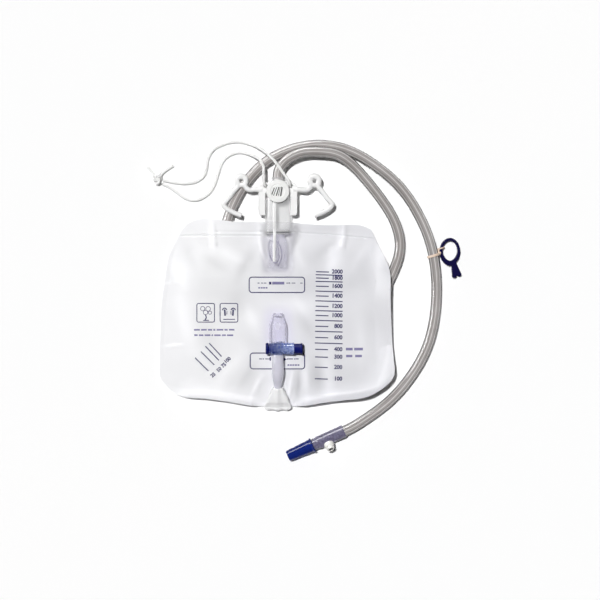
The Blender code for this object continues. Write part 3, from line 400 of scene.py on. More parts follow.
# the sky is lighter overhead than at the horizon; the camera and clear plastic see plain white
def makeSky():
    world = bpy.data.worlds.new("sky")
    scene.world = world
    world.use_nodes = True
    tree = world.node_tree
    height = tree.nodes.new("ShaderNodeSeparateXYZ")
    place = tree.nodes.new("ShaderNodeTexCoord").outputs["Generated"]
    setSockets(tree, height, {"Vector": place})
    fade = rangeNode(
        tree, height.outputs["Z"], high=0.8, toLow=stageSet["horizon"], toHigh=stageSet["overhead"]
    )
    ray = tree.nodes.new("ShaderNodeLightPath").outputs
    plain = mathNode(tree, "MAXIMUM", ray["Is Camera Ray"], ray["Is Transmission Ray"])
    plain = mathNode(tree, "MULTIPLY_ADD", ray["Is Glossy Ray"], stageSet["glossWhite"], plain)
    level = rangeNode(tree, plain, toLow=fade)
    setSockets(tree, tree.nodes["Background"], {"Strength": level})


def makeStage():
    bm = bmesh.new()
    bmesh.ops.create_grid(bm, x_segments=2, y_segments=2, size=2.5)
    white = stageSet["floor"]
    paper = finish("white_sheet", white, 0.9, white, 8, 400, 0.01, specular=0.0)
    floor = addPiece("floor", meshFrom(bm, "floor", None, False), paper, None)
    floor.location.z = -0.0002
    makeSky()
    sunLight(**stageSet["key"])
    softBox(**stageSet["window"])
    view = stageSet["camera"]
    data = bpy.data.cameras.new("camera")
    data.sensor_width = view["sensor"]
    data.lens = view["sensor"] * view["height"] / view["view"]
    data.clip_end = 20
    camera = bpy.data.objects.new("camera", data)
    camera.location = (*view["centre"], view["height"])
    scene.collection.objects.link(camera)
    scene.camera = camera
    print("stage: floor, sky, two lamps, camera")


# drainage tube and hanging cord
tubeSet = {
    "wall": ((1, 1, 1), 0.16, (0.86, 0.85, 0.84), 40, 500, 0.001, 0.9, None, 0.3),
    "radius": 0.0055,
    "sides": 48,
    # painted light across the tube, from outline to outline; the light band at 0.48 is a painted
    # highlight
    "paintedLightStripes": (
        (0.0, (0.09, 0.085, 0.084)), (0.055, (0.15, 0.142, 0.14)), (0.11, (0.6, 0.58, 0.575)),
        (0.19, (0.8, 0.78, 0.775)), (0.225, (0.32, 0.302, 0.296)), (0.29, (0.47, 0.445, 0.437)),
        (0.42, (0.48, 0.453, 0.444)), (0.48, (0.86, 0.84, 0.835)), (0.54, (0.45, 0.424, 0.416)),
        (0.73, (0.38, 0.358, 0.35)), (0.775, (0.27, 0.253, 0.247)), (0.82, (0.66, 0.64, 0.632)),
        (0.89, (0.55, 0.53, 0.522)), (0.945, (0.15, 0.142, 0.14)), (1.0, (0.09, 0.085, 0.084)),
    ),
    "socket": (1.3, 112, 11),
    "route": (
        (1.3, 120.2, 11), (1.7, 124.6, 11.1), (4.6, 131.6, 11.9), (13, 140, 13.3), (28, 146, 14.6),
        (45, 146.5, 14.7), (62, 144, 14), (79, 133, 9), (94, 117, 5.9), (111, 95, 5.6),
        (125, 70, 5.6), (129, 47, 5.6), (120, 17, 5.6), (103, -9, 5.6), (75, -22, 5.6),
        (43, -25, 5.6), (12, -24, 5.6), (-19, -12, 5.6), (-42, 9, 5.6), (-53, 38, 5.6),
        (-54, 63, 5.6), (-47, 88, 5.6), (-34, 112, 5.6), (-13, 135, 5.6), (14, 149, 5.6),
        (43, 154, 5.6), (73, 149, 5.6), (104, 132, 5.6), (129, 110, 5.6), (148, 82, 5.6),
        (160, 54, 6.3), (164, 38, 7.2), (167, 13, 5.9), (166, -21, 5.6), (158, -56, 5.6),
        (140, -89, 5.6), (117, -115, 5.6), (92, -133.5, 6.2), (74, -144, 7.5),
    ),
    "mouth": (0.0706, -0.1455, 0.0076),
    "turn": math.radians(204.1),
    "inserted": 0.0085,
}
cordSet = {
    "yarn": ((0.94, 0.94, 0.93), 0.85, (0.87, 0.87, 0.86), 900, 4000, 0.05),
    "radius": 0.0015,
    "twist": 0.0065,  # length of one turn of the strands
    "right": (
        (1.6, 110.8, 2.3), (8, 110.8, 2.4), (13, 110.8, 5.6), (14.4, 110.8, 12), (14, 111.4, 17.5),
        (12.6, 116, 20.2), (8.6, 121.6, 20.4), (3.6, 128.8, 20.4), (-3, 137.5, 17),
        (-10, 144.5, 13.2), (-19, 151, 6.5), (-30, 155.5, 2), (-43, 157.5, 1.6), (-57, 154.5, 1.6),
        (-67.5, 148, 1.6), (-72, 139.5, 1.6), (-73.5, 131, 1.6), (-76, 122.5, 1.6), (-82, 117, 1.6),
        (-91, 114.2, 1.6), (-101, 114, 1.6), (-110, 115.2, 1.8), (-119.2, 117.2, 3),
    ),
    "left": (
        (1.0, 110.8, 2.3), (-5.4, 110.8, 2.4), (-10.4, 110.8, 5.6), (-11.8, 110.8, 12),
        (-12.6, 112, 17), (-13.6, 117, 19), (-13.7, 124, 17.6), (-14, 131.5, 14.4),
        (-17.5, 138, 13), (-23.5, 142, 8), (-31, 145, 2.4), (-40, 146.2, 1.6), (-49, 143.6, 1.6),
        (-56, 137.5, 1.6), (-60, 129, 1.6), (-63, 119, 1.6), (-67, 109, 1.6), (-74, 101, 1.6),
        (-82, 97, 1.6), (-90, 96.4, 1.6), (-98, 99.5, 1.6), (-106, 105.4, 1.6), (-113, 110, 1.8),
        (-120.2, 113.4, 3),
    ),
}


def connectorAxis():
    return Vector((math.cos(tubeSet["turn"]), math.sin(tubeSet["turn"]), 0))


def connectorPoint(along):
    return Vector(tubeSet["mouth"]) + connectorAxis() * along


def tubeLine(count):
    return smoothLine(metres(tubeSet["route"]) + [tuple(connectorPoint(0.001))], count)


def lineLength(line):
    return float(np.sum(np.linalg.norm(np.diff(np.array(line, float), axis=0), axis=1)))


# painted light and shade across the tube, for light bent through its clear wall: dark outline,
# light wall, dark line at the bore's edge, greyer middle, and a painted highlight along the middle
def stripeRound(material):
    tree = material.node_tree
    paintedLightStripes = tree.nodes.new("ShaderNodeValToRGB")
    ramp, (first, *between, last) = paintedLightStripes.color_ramp, tubeSet["paintedLightStripes"]
    ramp.elements[0].color, ramp.elements[1].color = (*first[1], 1), (*last[1], 1)
    for place, colour in between:
        ramp.elements.new(place).color = (*colour, 1)
    setSockets(tree, paintedLightStripes, {"Fac": rangeNode(tree, layerNode(tree, "across"), low=-1)})
    drift = tree.nodes["Color Ramp"].outputs["Color"]
    colour = multiplyNode(tree, 1, paintedLightStripes.outputs["Color"], drift)
    setSockets(tree, tree.nodes["Principled BSDF"], {"Base Color": colour})


# numbers kept in the points of a mesh for its material to read
def addLayer(obj, name, values):
    layer = obj.data.attributes.new(name, "FLOAT", "POINT")
    layer.data.foreach_set("value", values.reshape(-1).astype(np.float32))


def makeTube():
    line = [tuple(v / 1000 for v in tubeSet["socket"])]
    line += [tuple(p) for p in tubeLine(420)] + [tuple(connectorPoint(tubeSet["inserted"]))]
    wall = finish("tube_wall", *tubeSet["wall"])
    stripeRound(wall)
    sides = tubeSet["sides"]
    bm = bmesh.new()
    sweep(bm, line, tubeSet["radius"], sides, firstSide=(0, 0, 1))
    tube = addPiece("tube_wall", bm, wall)
    across = np.sin(2 * np.pi * np.arange(sides) / sides)
    addLayer(tube, "across", np.tile(across, len(line)))
    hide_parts("drainage_tube")
    print("tube", round(lineLength(line), 3), "m")


def makeCord():
    white = finish("cord_yarn", *cordSet["yarn"])
    for side in ("right", "left"):
        line = smoothLine(metres(cordSet[side]), 520)
        turns = lineLength(line) / cordSet["twist"]

        def strands(share, angle):
            return 1 + 0.09 * abs(math.cos(1.5 * angle + math.pi * turns * share)) - 0.05

        bm = bmesh.new()
        sweep(bm, line, cordSet["radius"], 18, strands)
        cord = addPiece(f"cord_{side}", bm, white, sharp=None)
        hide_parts(f"cord_strand_{side}")
        print("cord", side, round(lineLength(line), 3), "m")


# films
filmSet = {
    # light tone, dark tone and opacity
    "front": ((0.955, 0.955, 0.968), (0.92, 0.92, 0.938), 0.5),
    "back": ((0.975, 0.975, 0.985), (0.945, 0.945, 0.96), 1.0),
    "opacity": {"loose": 0.94, "pressed": 0.14},
    "width": 0.246,
    "length": 0.1945,
    "top": 0.0745,
    "edgeWeld": 0.005,
    "headerX": (-0.1, -0.014, 0.016, 0.063, 0.108),
    "headerY": (0.0588, 0.0588, 0.0625, 0.0595, 0.0552),
    "air": 0.0123,
    "slope": 0.045,
    "hump": 0.0125,
    "spread": 0.020,
    "slackSpread": 0.034,
    "curl": 0.0095,
    "gap": 0.0011,
    "backRise": 0.0003,
    "arch": {"height": 0.0182, "half": 0.019, "start": -0.006, "length": 0.038},
    "lift": {"height": 0.0034, "start": -0.012, "length": 0.03},
    "weldRun": 0.012,  # the waves and creases fade out over this way to the welds
    "creaseShare": 1.35,
    "waves": 26,
    "waveSize": (0.022, 0.085),
    "columns": 250,
    "rows": 270,
    "left": (
        (-0.943, 0.887), (-0.992, 0.846), (-1.0, 0.79), (-1.0, 0.72), (-0.992, 0.589),
        (-0.976, 0.409), (-0.951, 0.306), (-0.911, 0.177), (-0.86, 0.112), (-0.82, 0.062),
        (-0.764, 0.018),
    ),
    "upper": (
        (-0.764, 0.018), (-0.71, 0.001), (-0.4, 0.003), (-0.073, 0.005), (0.163, 0.012),
        (0.537, 0.022), (0.748, 0.031), (0.805, 0.049),
    ),
    "right": (
        (0.927, 0.887), (0.994, 0.83), (0.998, 0.77), (0.986, 0.69), (0.974, 0.56),
        (0.964, 0.4), (0.953, 0.26), (0.878, 0.147), (0.805, 0.049),
    ),
    "lower": (
        (-0.943, 0.887), (-0.89, 0.92), (-0.82, 0.943), (-0.7, 0.953), (-0.488, 0.966),
        (-0.25, 0.991), (-0.13, 1.0), (0.02, 1.0), (0.16, 1.0), (0.27, 0.992), (0.537, 0.966),
        (0.797, 0.938), (0.927, 0.887),
    ),
}


# 0 at the start of a span and 1 from its end on
def portion(distance, span):
    return np.clip(distance / span, 0, 1)


def eased(share):
    return share * share * (3 - 2 * share)


# 1 in the middle, fading out with the distance; a higher power has a flatter top
def bell(distance, width, power=2):
    return np.exp(-((distance / width) ** power))


def edgeLine(name):
    half, top, length = filmSet["width"] / 2, filmSet["top"], filmSet["length"]
    return smoothLine([(x * half, top - y * length) for x, y in filmSet[name]], 900)


def edgeAt(line, share):
    place = share * (len(line) - 1)
    return np.stack([np.interp(place, range(len(line)), line[:, k]) for k in range(2)], -1)


# grid of (x, y) over the bag with the shares across and up
def filmGrid():
    u, v = np.meshgrid(np.linspace(0, 1, filmSet["columns"]), np.linspace(0, 1, filmSet["rows"]))
    left, right, upper, lower = (edgeLine(name) for name in ("left", "right", "upper", "lower"))
    uu, vv = u[..., None], v[..., None]
    flat = (1 - vv) * edgeAt(lower, u) + vv * edgeAt(upper, u)
    flat += (1 - uu) * edgeAt(left, v) + uu * edgeAt(right, v)
    for rows, line in ((1 - vv, lower), (vv, upper)):
        flat -= rows * ((1 - uu) * line[0] + uu * line[-1])
    return flat[..., 0], flat[..., 1], u, v


def smoothMax(a, b, blend):
    h = np.maximum(blend - np.abs(a - b), 0) / blend
    return np.maximum(a, b) + h * h * blend / 4


def rise(distance):
    return 1 - (1 - portion(distance, filmSet["slope"])) ** 2


# the film over the run of the tube that lies under the bag
def humpHeight(x, y, spread):
    line = tubeLine(400)
    line = line[(line[:, 1] < filmSet["top"] + 0.02) & (line[:, 0] < filmSet["width"] / 2 + 0.009)]
    near = np.full(x.shape, 1.0)
    for px, py, _ in line:
        near = np.minimum(near, np.hypot(x - px, y - py))
    return filmSet["hump"] * bell(near, spread)


# the lower and right edges turn up a little from the sheet
def edgeCurl(x, y, u, v):
    right = (1 - portion((1 - u) * filmSet["width"], 0.02)) * portion(0.055 - y, 0.03)
    lower = (1 - portion(v * filmSet["length"], 0.012)) * portion(u - 0.02, 0.1)
    lower *= portion(np.abs(x - axisX) - 0.016, 0.012)  # the outlet neck holds it down
    return filmSet["curl"] * np.maximum(right, lower) ** 1.5


# creases: start, end, half width, height (negative for a valley), all in millimetres
creaseSet = (
    ((-69, 72), (-68, 47), 2.6, 0.9), ((-64, 72), (-63, 49), 1.6, -0.7),
    ((70.5, 70), (68.5, 48), 2.2, 1.3), ((74, 69), (73, 46), 1.8, -0.8),
    ((66, 48), (52, 10), 7, 0.9), ((64, 56), (40, 34), 6, -0.5),
    ((-60, 44), (-30, 30), 6, 0.8), ((-75, 36), (-50, 20), 5, -0.5),
    ((-122, 9), (-104, 10), 1.6, 0.45), ((-121, -57), (-98, -56), 2.0, 0.5),
    ((-108, 32), (-96, 4), 5, 0.7), ((-96, 50), (-84, 20), 6, -0.5),
    ((-100, -10), (-88, -60), 8, 0.7), ((-80, -30), (-60, -70), 9, -0.5),
    ((-22, 46), (-40, 12), 6, -0.9), ((-33, -10), (-20, -44), 6, 0.7),
    ((22, 44), (30, 22), 5, 0.6), ((24, -18), (38, -50), 6, -0.7), ((20, -8), (34, -30), 5, 0.6),
    ((30, -78), (32, -112), 4.5, 1.3), ((24, -84), (22, -112), 2.5, -1.2),
    ((17, -84), (12, -114), 2.2, 1.2), ((40, -72), (46, -106), 6, -0.8),
    ((52, -70), (58, -104), 6, 0.9), ((-16, -88), (-26, -110), 3, 1.1),
    ((-22, -76), (-40, -104), 5, -0.6), ((-34, -64), (-62, -98), 7, 0.6),
    ((84, -20), (96, -70), 9, 0.5), ((92, 30), (100, -10), 8, -0.4), ((96, 50), (80, 24), 5, 0.5),
)


def creases(x, y):
    height = np.zeros(x.shape)
    for start, end, *size in creaseSet:
        (x1, y1), (x2, y2), (wide, high) = metres((start, end, size))
        length = math.hypot(x2 - x1, y2 - y1)
        along = portion((x - x1) * (x2 - x1) + (y - y1) * (y2 - y1), length**2)
        off = np.hypot(x - x1 - along * (x2 - x1), y - y1 - along * (y2 - y1))
        taper = 0.35 + 0.65 * np.sin(np.pi * np.clip(along, 0.02, 0.98))
        height += filmSet["creaseShare"] * high * taper * bell(off, wide)
    return height


# painted light and shade: soft lighter and darker places of the slack film, one of them the tap's
# shadow; centre and half axes in millimetres, strength
paintedShadeSet = (
    (-20, 29, 12, 14, -0.4), (37, 38, 20, 17, -0.55), (65.4, 57, 3, 14, 0.9),
    (61, 31, 9, 11, 0.7), (95, -29, 22, 55, -0.2), (14, -11.5, 25, 6, 0.5),
    (-26, -27, 12, 9, 0.35), (-22, -52, 15, 15, -0.35), (22, -61, 11, 9, -0.4),
    (53, -103, 7, 11, 0.6), (8.7, -110, 2.2, 9, 0.9), (-26, -87, 12, 18, -0.3),
    (-67, 61, 3.5, 17, 0.6), (-62.5, 49, 1.6, 3, -1.3), (-59, -8, 14, 30, -0.2),
    (-40, -8, 14, 16, -0.5), (-72, 32, 14, 12, -0.25), (-92, -70, 16, 20, 0.2),
    (40, -84, 8, 20, -0.3), (75, 15, 10, 20, -0.25), (-38, -10, 13, 14, -0.5),
    (-38, -56, 12, 12, -0.35), (50, 67, 30, 5, -0.8), (-45, 67, 14, 5, 0.4),
    (-98, 14, 10, 24, 0.3), (-78, -94, 24, 14, 0.5), (30, 8, 16, 10, -0.3),
    (-30, 55, 10, 10, 0.3), (80, -92, 30, 16, -0.35), (24, -18, 18, 7, 0.5),
    (-38, -56, 9, 9, 0.4), (84, 44, 12, 14, -0.25), (-5, 12, 14, 6, 0.3), (88, -60, 4, 26, 0.35),
)


def tones(x, y):
    value = np.zeros(x.shape)
    for cx, cy, wide, long, strength in paintedShadeSet:
        value += strength * bell(x * 1000 - cx, wide) * bell(y * 1000 - cy, long)
    return value


# slow unevenness of the slack film
def slack(x, y, seed):
    random = np.random.default_rng(seed)
    height = np.zeros(x.shape)
    for _ in range(filmSet["waves"]):
        angle, size = random.uniform(0, math.pi), random.uniform(*filmSet["waveSize"])
        phase = random.uniform(0, 2 * math.pi)
        place = x * math.cos(angle) + y * math.sin(angle)
        height += size * np.sin(2 * np.pi * place / size + phase)
    return height / filmSet["waves"]


def frontHeight(x, y, u, v):
    fromSide = np.minimum(u, 1 - u) * filmSet["width"] - filmSet["edgeWeld"]
    fromBottom = v * filmSet["length"] - filmSet["edgeWeld"]
    fromTop = headerLine(x) - y
    aside = np.abs(x - axisX)
    over, raised = filmSet["arch"], filmSet["lift"]
    air = rise(fromSide) * rise(fromBottom) * rise(fromTop)
    air *= filmSet["air"] + raised["height"] * eased(portion(y - raised["start"], raised["length"]))
    arch = over["height"] * bell(aside, over["half"], 3.2)
    arch = arch * eased(portion(y - over["start"], over["length"]))
    base = humpHeight(x, y, filmSet["slackSpread"]) + filmSet["gap"]
    height = smoothMax(smoothMax(base, air, 0.007), arch, 0.003) + 0.0006
    fromWeld = np.minimum(np.minimum(fromSide, fromBottom), fromTop)
    # slack film between the welds, pulled tight over the chamber
    tight = np.clip(1 - (aside / 0.02) ** 2, 0, 1) * portion(y - 0.01, 0.02)
    loose = portion(fromWeld, filmSet["weldRun"]) * (1 - tight)
    height += loose * (0.035 * slack(x, y, 4) + creases(x, y))
    # the welded strip above the header line is calmer
    header = portion(-fromTop, 0.004) * portion(u, 0.04) * portion(1 - u, 0.04)
    height += header * (0.6 * creases(x, y) + 0.012 * slack(x, y, 9))
    return height + weldLines(x, y, u)


def headerLine(x):
    return np.interp(x, filmSet["headerX"], filmSet["headerY"])


# pressed lines of the header weld, with a second line left of the chamber
def weldLines(x, y, u):
    down = headerLine(x) - y
    second = portion(x + 0.067, 0.003) * portion(-0.012 - x, 0.003)
    height = 0.0003 * bell(down + 0.0017, 0.001) - 0.0006 * bell(down, 0.0008)
    height -= 0.0005 * second * bell(down + 0.0042, 0.0008)
    return height * portion(np.minimum(u, 1 - u), 0.03)


def filmMesh(name, x, y, z):
    rows, columns = x.shape
    mesh = bpy.data.meshes.new(name)
    points = np.stack([x, y, z], -1).reshape(-1, 3)
    index = np.arange(rows * columns).reshape(rows, columns)
    corners = (index[:-1, :-1], index[:-1, 1:], index[1:, 1:], index[1:, :-1])
    faces = np.stack(corners, -1).reshape(-1, 4)
    mesh.from_pydata(points.tolist(), [], faces.tolist())
    mesh.shade_smooth()
    return mesh


def filmFinish(name, light, dark, alpha, paintedShadeRight):
    material = finish(name, light, 0.36, dark, 14, 700, 0.006, alpha, specular=0.2)
    tree = material.node_tree
    if paintedShadeRight:  # painted shade: a little greyer towards the right, away from the light
        across = rangeNode(tree, alongX(tree), low=-0.07, high=0.05, way="SMOOTHSTEP")
        drift = tree.nodes["Color Ramp"].outputs["Color"]
        colour = multiplyNode(tree, across, drift, (0.86, 0.86, 0.88, 1))
        setSockets(tree, tree.nodes["Principled BSDF"], {"Base Color": colour})
    place = tree.nodes["Texture Coordinate"].outputs["Object"]
    crinkle = noiseNode(tree, place, 42, 5, 0.8)
    fold = bumpNode(tree, crinkle, 0.3, 0.0016)
    setSockets(tree, tree.nodes["Bump"], {"Normal": fold})
    return material


# the film looks clearer and lilac where it is pressed on the parts behind it, with a painted lilac
# reflection round the tap, and painted shade and highlight: the ridges of its creases painted
# whiter, the hollows greyer
def clearWhereTouching(material, loose, pressed):
    tree = material.node_tree
    haze = rangeNode(tree, layerNode(tree, "touch"), toLow=loose, toHigh=pressed)
    tinted = tree.nodes["Mix"].outputs["Result"]
    wash = multiplyNode(tree, layerNode(tree, "lilac"), tinted, (0.9, 0.87, 1, 1))
    # painted shade and highlight from the fold layer
    strength = mathNode(tree, "MULTIPLY_ADD", layerNode(tree, "fold"), 0.13, 1.0)
    shade = tree.nodes.new("ShaderNodeVectorMath")
    shade.operation = "SCALE"
    setSockets(tree, shade, {"Vector": wash, "Scale": strength})
    look = {"Alpha": haze, "Base Color": shade.outputs["Vector"]}
    setSockets(tree, tree.nodes["Principled BSDF"], look)


def makeFilms():
    x, y, u, v = filmGrid()
    hump = humpHeight(x, y, filmSet["spread"])
    curl = edgeCurl(x, y, u, v)
    z = frontHeight(x, y, u, v) + curl
    clear = filmFinish("front_film", *filmSet["front"], True)
    white = filmFinish("back_film", *filmSet["back"], True)
    front = addPiece("front_film", filmMesh("front_film", x, y, z), clear)
    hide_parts("bag_front_film")
    aside = np.abs(x - axisX)
    touch = bell(aside, 0.0155, 6) * portion(y - 0.015, 0.01)
    touch *= 0.84 + 0.16 * portion(y - 0.057, 0.004)
    # lilac over the valve and the chamber below the header line, and a painted lilac reflection
    # round the tap
    lilac = touch * portion(headerLine(x) - y, 0.002)
    lilac = np.maximum(lilac, bell(aside, 0.015, 4) * bell(y + 0.04, 0.024, 4))
    addLayer(front, "touch", touch)
    addLayer(front, "lilac", 0.8 * lilac)
    # painted light and shade: the lighter and darker patches, and the creases' ridges and hollows
    addLayer(front, "fold", tones(x, y) + 900 * creases(x, y))
    clearWhereTouching(clear, **filmSet["opacity"])
    z = hump + curl + filmSet["backRise"]
    back = addPiece("back_film", filmMesh("back_film", x, y, z), white)
    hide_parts("bag_back_film")
    print("films", x.size, "points each")


# hanger
hangerSet = {
    "plastic": ((0.93, 0.93, 0.925), 0.4, (0.9, 0.9, 0.895), 120, 1500, 0.02),
    "halfWidth": 0.0203,
    "top": 0.1145,
    "bottom": 0.0798,
    "height": 0.0138,
    "thickness": 0.003,
    "slot": 0.01308,
    "neck": 0.0069,
    "rod": 0.0026,
    "ring": (38.2, 116),
    "ringRadius": 4.7,
    "ringRod": 0.0025,
    "saddle": (0.1033, 0.1155),
    "voxel": 0.00034,
}


def arcPoints(centre, radius, start, end, count):
    angles = [math.radians(start + (end - start) * i / (count - 1)) for i in range(count)]
    return [(centre[0] + radius * math.cos(a), centre[1] + radius * math.sin(a)) for a in angles]


def hookLine(side):
    around = arcPoints(hangerSet["ring"], hangerSet["ringRadius"], 212, -30, 15)
    points = [(16.3, 106.8), (25.3, 106.8), (31.3, 107.2), (33.6, 109.4), *around]
    points += [(41.9, 111), (45, 106.6), (53, 96.2), (56.5, 91.2), (52.7, 86.6), (38.1, 79.8)]
    flat = smoothLine(metres(points), 110)
    return [(*point, hangerSet["height"]) for point in mirrored(flat, side)]


# points given from the middle line of the bag, on its right or left side
def mirrored(points, side):
    return [(axisX + side * x, y) for x, y in points]


# flat shape with its edges rounded, as a mesh; the first loop is the outline, the rest are holes
def plateMesh(name, loops, thickness, rounding):
    curve = bpy.data.curves.new(name, "CURVE")
    curve.dimensions = "2D"
    curve.fill_mode = "BOTH"
    curve.extrude = thickness / 2 - rounding
    curve.bevel_depth = rounding
    curve.bevel_resolution = 2
    curve.offset = -rounding
    for loop in loops:
        spline = curve.splines.new("POLY")
        spline.points.add(len(loop) - 1)
        for point, (x, y) in zip(spline.points, loop):
            point.co = (x, y, 0, 1)
        spline.use_cyclic_u = True
    return curveMesh(curve)


def addMesh(bm, mesh, matrix):
    mesh.transform(matrix)
    bm.from_mesh(mesh)
    bpy.data.meshes.remove(mesh)


def prism(bm, outline, low, high):
    closeEnds(bm, [[bm.verts.new((x, y, z)) for x, y in outline] for z in (low, high)])


# joins overlapping shells into one skin with soft inner corners
def fuse(obj, voxel, smoothing=5):
    remesh = obj.modifiers.new("join", "REMESH")
    remesh.mode = "VOXEL"
    remesh.voxel_size = voxel
    remesh.use_smooth_shade = True
    soften = obj.modifiers.new("soften", "SMOOTH")
    soften.iterations = smoothing
    soften.factor = 0.5
    material = obj.data.materials[0]
    applyModifiers(obj)
    obj.data.materials.clear()
    obj.data.materials.append(material)
    obj.data.shade_smooth()


def makeHanger():
    h = hangerSet
    white = finish("white_moulding", *hangerSet["plastic"])
    bm = bmesh.new()

    # the hook is thicker where it turns into its ring
    def thickness(share, angle):
        return 1 + 0.16 * bell(share - 0.36, 0.13)

    for side in (-1, 1):
        sweep(bm, hookLine(side), h["rod"], 24, thickness)
        ring = metres(arcPoints(h["ring"], h["ringRadius"], 0, 358, 60))
        ring = [(*point, h["height"]) for point in mirrored(ring, side)]
        sweep(bm, ring, h["ringRod"], 20)
        lower = (h["halfWidth"] - 0.003, h["bottom"] + 0.003)
        upper = (h["halfWidth"] - 0.006, h["top"] - 0.006)
        outline = [(h["slot"], h["bottom"])] + arcPoints(lower, 0.003, -90, 0, 6)
        outline += arcPoints(upper, 0.006, 0, 90, 8) + [(h["neck"], h["top"]), (h["neck"], 0.1031)]
        outline += [(h["slot"], 0.1031)]
        eyelet = arcPoints((0.0131, 0.1108), 0.0023, 0, 345, 24)
        loops = [mirrored(loop, side) for loop in (outline, eyelet)]
        plate = plateMesh("plate", loops, h["thickness"], 0.0005)
        addMesh(bm, plate, Matrix.Translation((0, 0, h["height"])))
        rail = [(0.0192, 0.0815), (0.02, 0.0815), (0.02, 0.1085), (0.0192, 0.1085)]
        prism(bm, mirrored(rail, side), h["height"], h["height"] + 0.0019)
    # the saddle over the chamber's neck: an arch run along the bag
    arch = [(-0.0088, 0.0126), (-0.0088, 0.0185), (-0.0082, 0.0196), (-0.0072, 0.02)]
    arch += [(-x, z) for x, z in reversed(arch)]
    arch += arcPoints((0, 0.011), 0.0068, 13.6, 166.4, 20)
    loft(bm, [[(axisX + x, y, z) for x, z in arch] for y in h["saddle"]])
    boss = [(0, 0.0181), (0.0105, 0.0181), (0.0105, 0.02), (0.0073, 0.02)]
    boss += [(0.0073, 0.019), (0, 0.019)]
    lathe(bm, softProfile(boss, 0.0003), Matrix.Translation((axisX, 0.105, 0)), 60)
    hanger = addPiece("hanger_moulding", bm, white, sharp=None)
    fuse(hanger, h["voxel"])
    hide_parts("hanger")
    print("hanger", len(hanger.data.polygons), "faces")


# drip chamber, its base and the non-return valve
chamberSet = {
    "plastic": ((0.95, 0.95, 0.955), 0.14, (0.9, 0.9, 0.91), 70, 600, 0.001, 0.34, 0.75),
    # white strip of painted highlight along the chamber
    "rib": ((0.99, 0.99, 0.99), 0.2, (0.97, 0.97, 0.975), 90, 900, 0.004, 0.85),
    # near-black strip of painted shade at the chamber's bottom rim
    "sealRubber": ((0.04, 0.04, 0.05), 0.5, (0.03, 0.03, 0.035), 200, 1500, 0.03),
    "neck": (0.0065, 0.011),
    "barrel": (0.0137, 0.008, 0.009),
    "wall": 0.0012,
    "top": 0.1197,
    "bottom": 0.0622,
    "step": 0.0003,
    "seal": (0.0629, 0.0616),
    "ribAside": 0.0034,
    "ribRadius": 0.0016,
}


def makeChamber():
    c = chamberSet
    neck, neckZ = c["neck"]
    wide, deep, z = c["barrel"]
    wall, top, bottom, step = c["wall"], c["top"], c["bottom"], c["step"]
    clear = finish("chamber_plastic", *chamberSet["plastic"])
    outer = [
        (top, neck - step, neck - step, neckZ), (top - 0.0004, neck, neck, neckZ),
        (top - 0.0022, neck, neck, neckZ), (top - 0.0026, neck - step, neck - step, neckZ),
        (0.1024, neck - step, neck - step, neckZ), (0.1012, 0.0072, 0.0068, 0.0107),
        (0.1, 0.0102, 0.0074, 0.0098), (0.0986, 0.0124, 0.0077, 0.0093),
        (0.0972, 0.0133, 0.0079, 0.009), (0.0945, wide, deep, z), (0.0665, wide, deep, z),
        (0.066, wide - step, deep - step, z), (0.0655, wide, deep, z), (bottom, wide, deep, z),
    ]
    rings = [oval(axisX, y, height, w, d, 64) for y, w, d, height in outer]
    chamber = loftedPiece("chamber_barrel", rings, clear, 25)
    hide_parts("drip_chamber")

    flange = bottom - 0.0003
    plugWide, plugDeep = wide - wall - step, deep - wall - step
    base = [
        (0.0662, plugWide - 0.0004, plugDeep - 0.0004, z), (0.0658, plugWide, plugDeep, z),
        (flange, plugWide, plugDeep, z), (flange, wide, deep, z), (flange - 0.0013, wide, deep, z),
        (flange - 0.0016, wide - 0.0004, deep - 0.0004, z), (flange - 0.0016, 0.0066, 0.0066, z),
        (flange - 0.0026, 0.0062, 0.0062, z),
    ]
    rings = [oval(axisX, y, height, w, d, 56) for y, w, d, height in base]
    plug = loftedPiece("chamber_plug", rings, clear, 25)
    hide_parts("chamber_base")
    # a white strip left of the middle: a rib on the chamber that carries a painted highlight, and
    # over the film a painted highlight alone
    ribX = axisX - c["ribAside"]
    rib = [(0.1008, 0.0168), (0.0985, 0.0171), (0.094, 0.0172), (0.07, 0.0172), (0.0626, 0.0172)]
    rib = [(ribX, y, height) for y, height in rib]
    middle = np.array([0.5])
    for y in (0.058, 0.052, 0.045, 0.038, 0.0315):  # from here it runs on over the film, as a painted highlight
        cover = frontHeight(np.array([ribX]), np.array([y]), middle, middle)[0]
        rib.append((ribX - 0.02 * (0.0626 - y), y, max(float(cover), 0.0165) + 0.0004))
    bright = finish("rib_plastic", *chamberSet["rib"])

    def flat(share, angle):
        return (1 - 0.7 * abs(math.sin(angle))) * (1 - 0.6 * max(0, share - 0.6))

    bm = bmesh.new()
    sweep(bm, smoothLine(rib, 60), c["ribRadius"], 14, flat, (1, 0, 0))
    addPiece("chamber_rib", bm, bright)
    # painted shade: a near-black strip over the chamber's bottom rim, where the joint lies in shade
    grey = finish("joint_seal", *chamberSet["sealRubber"])
    bm = bmesh.new()
    archShell(bm, [arch(axisX, y, z, wide + 0.0002, deep + 0.0002) for y in c["seal"]])
    addPiece("joint_seal", bm, grey, sharp=30)
    print("chamber and base")


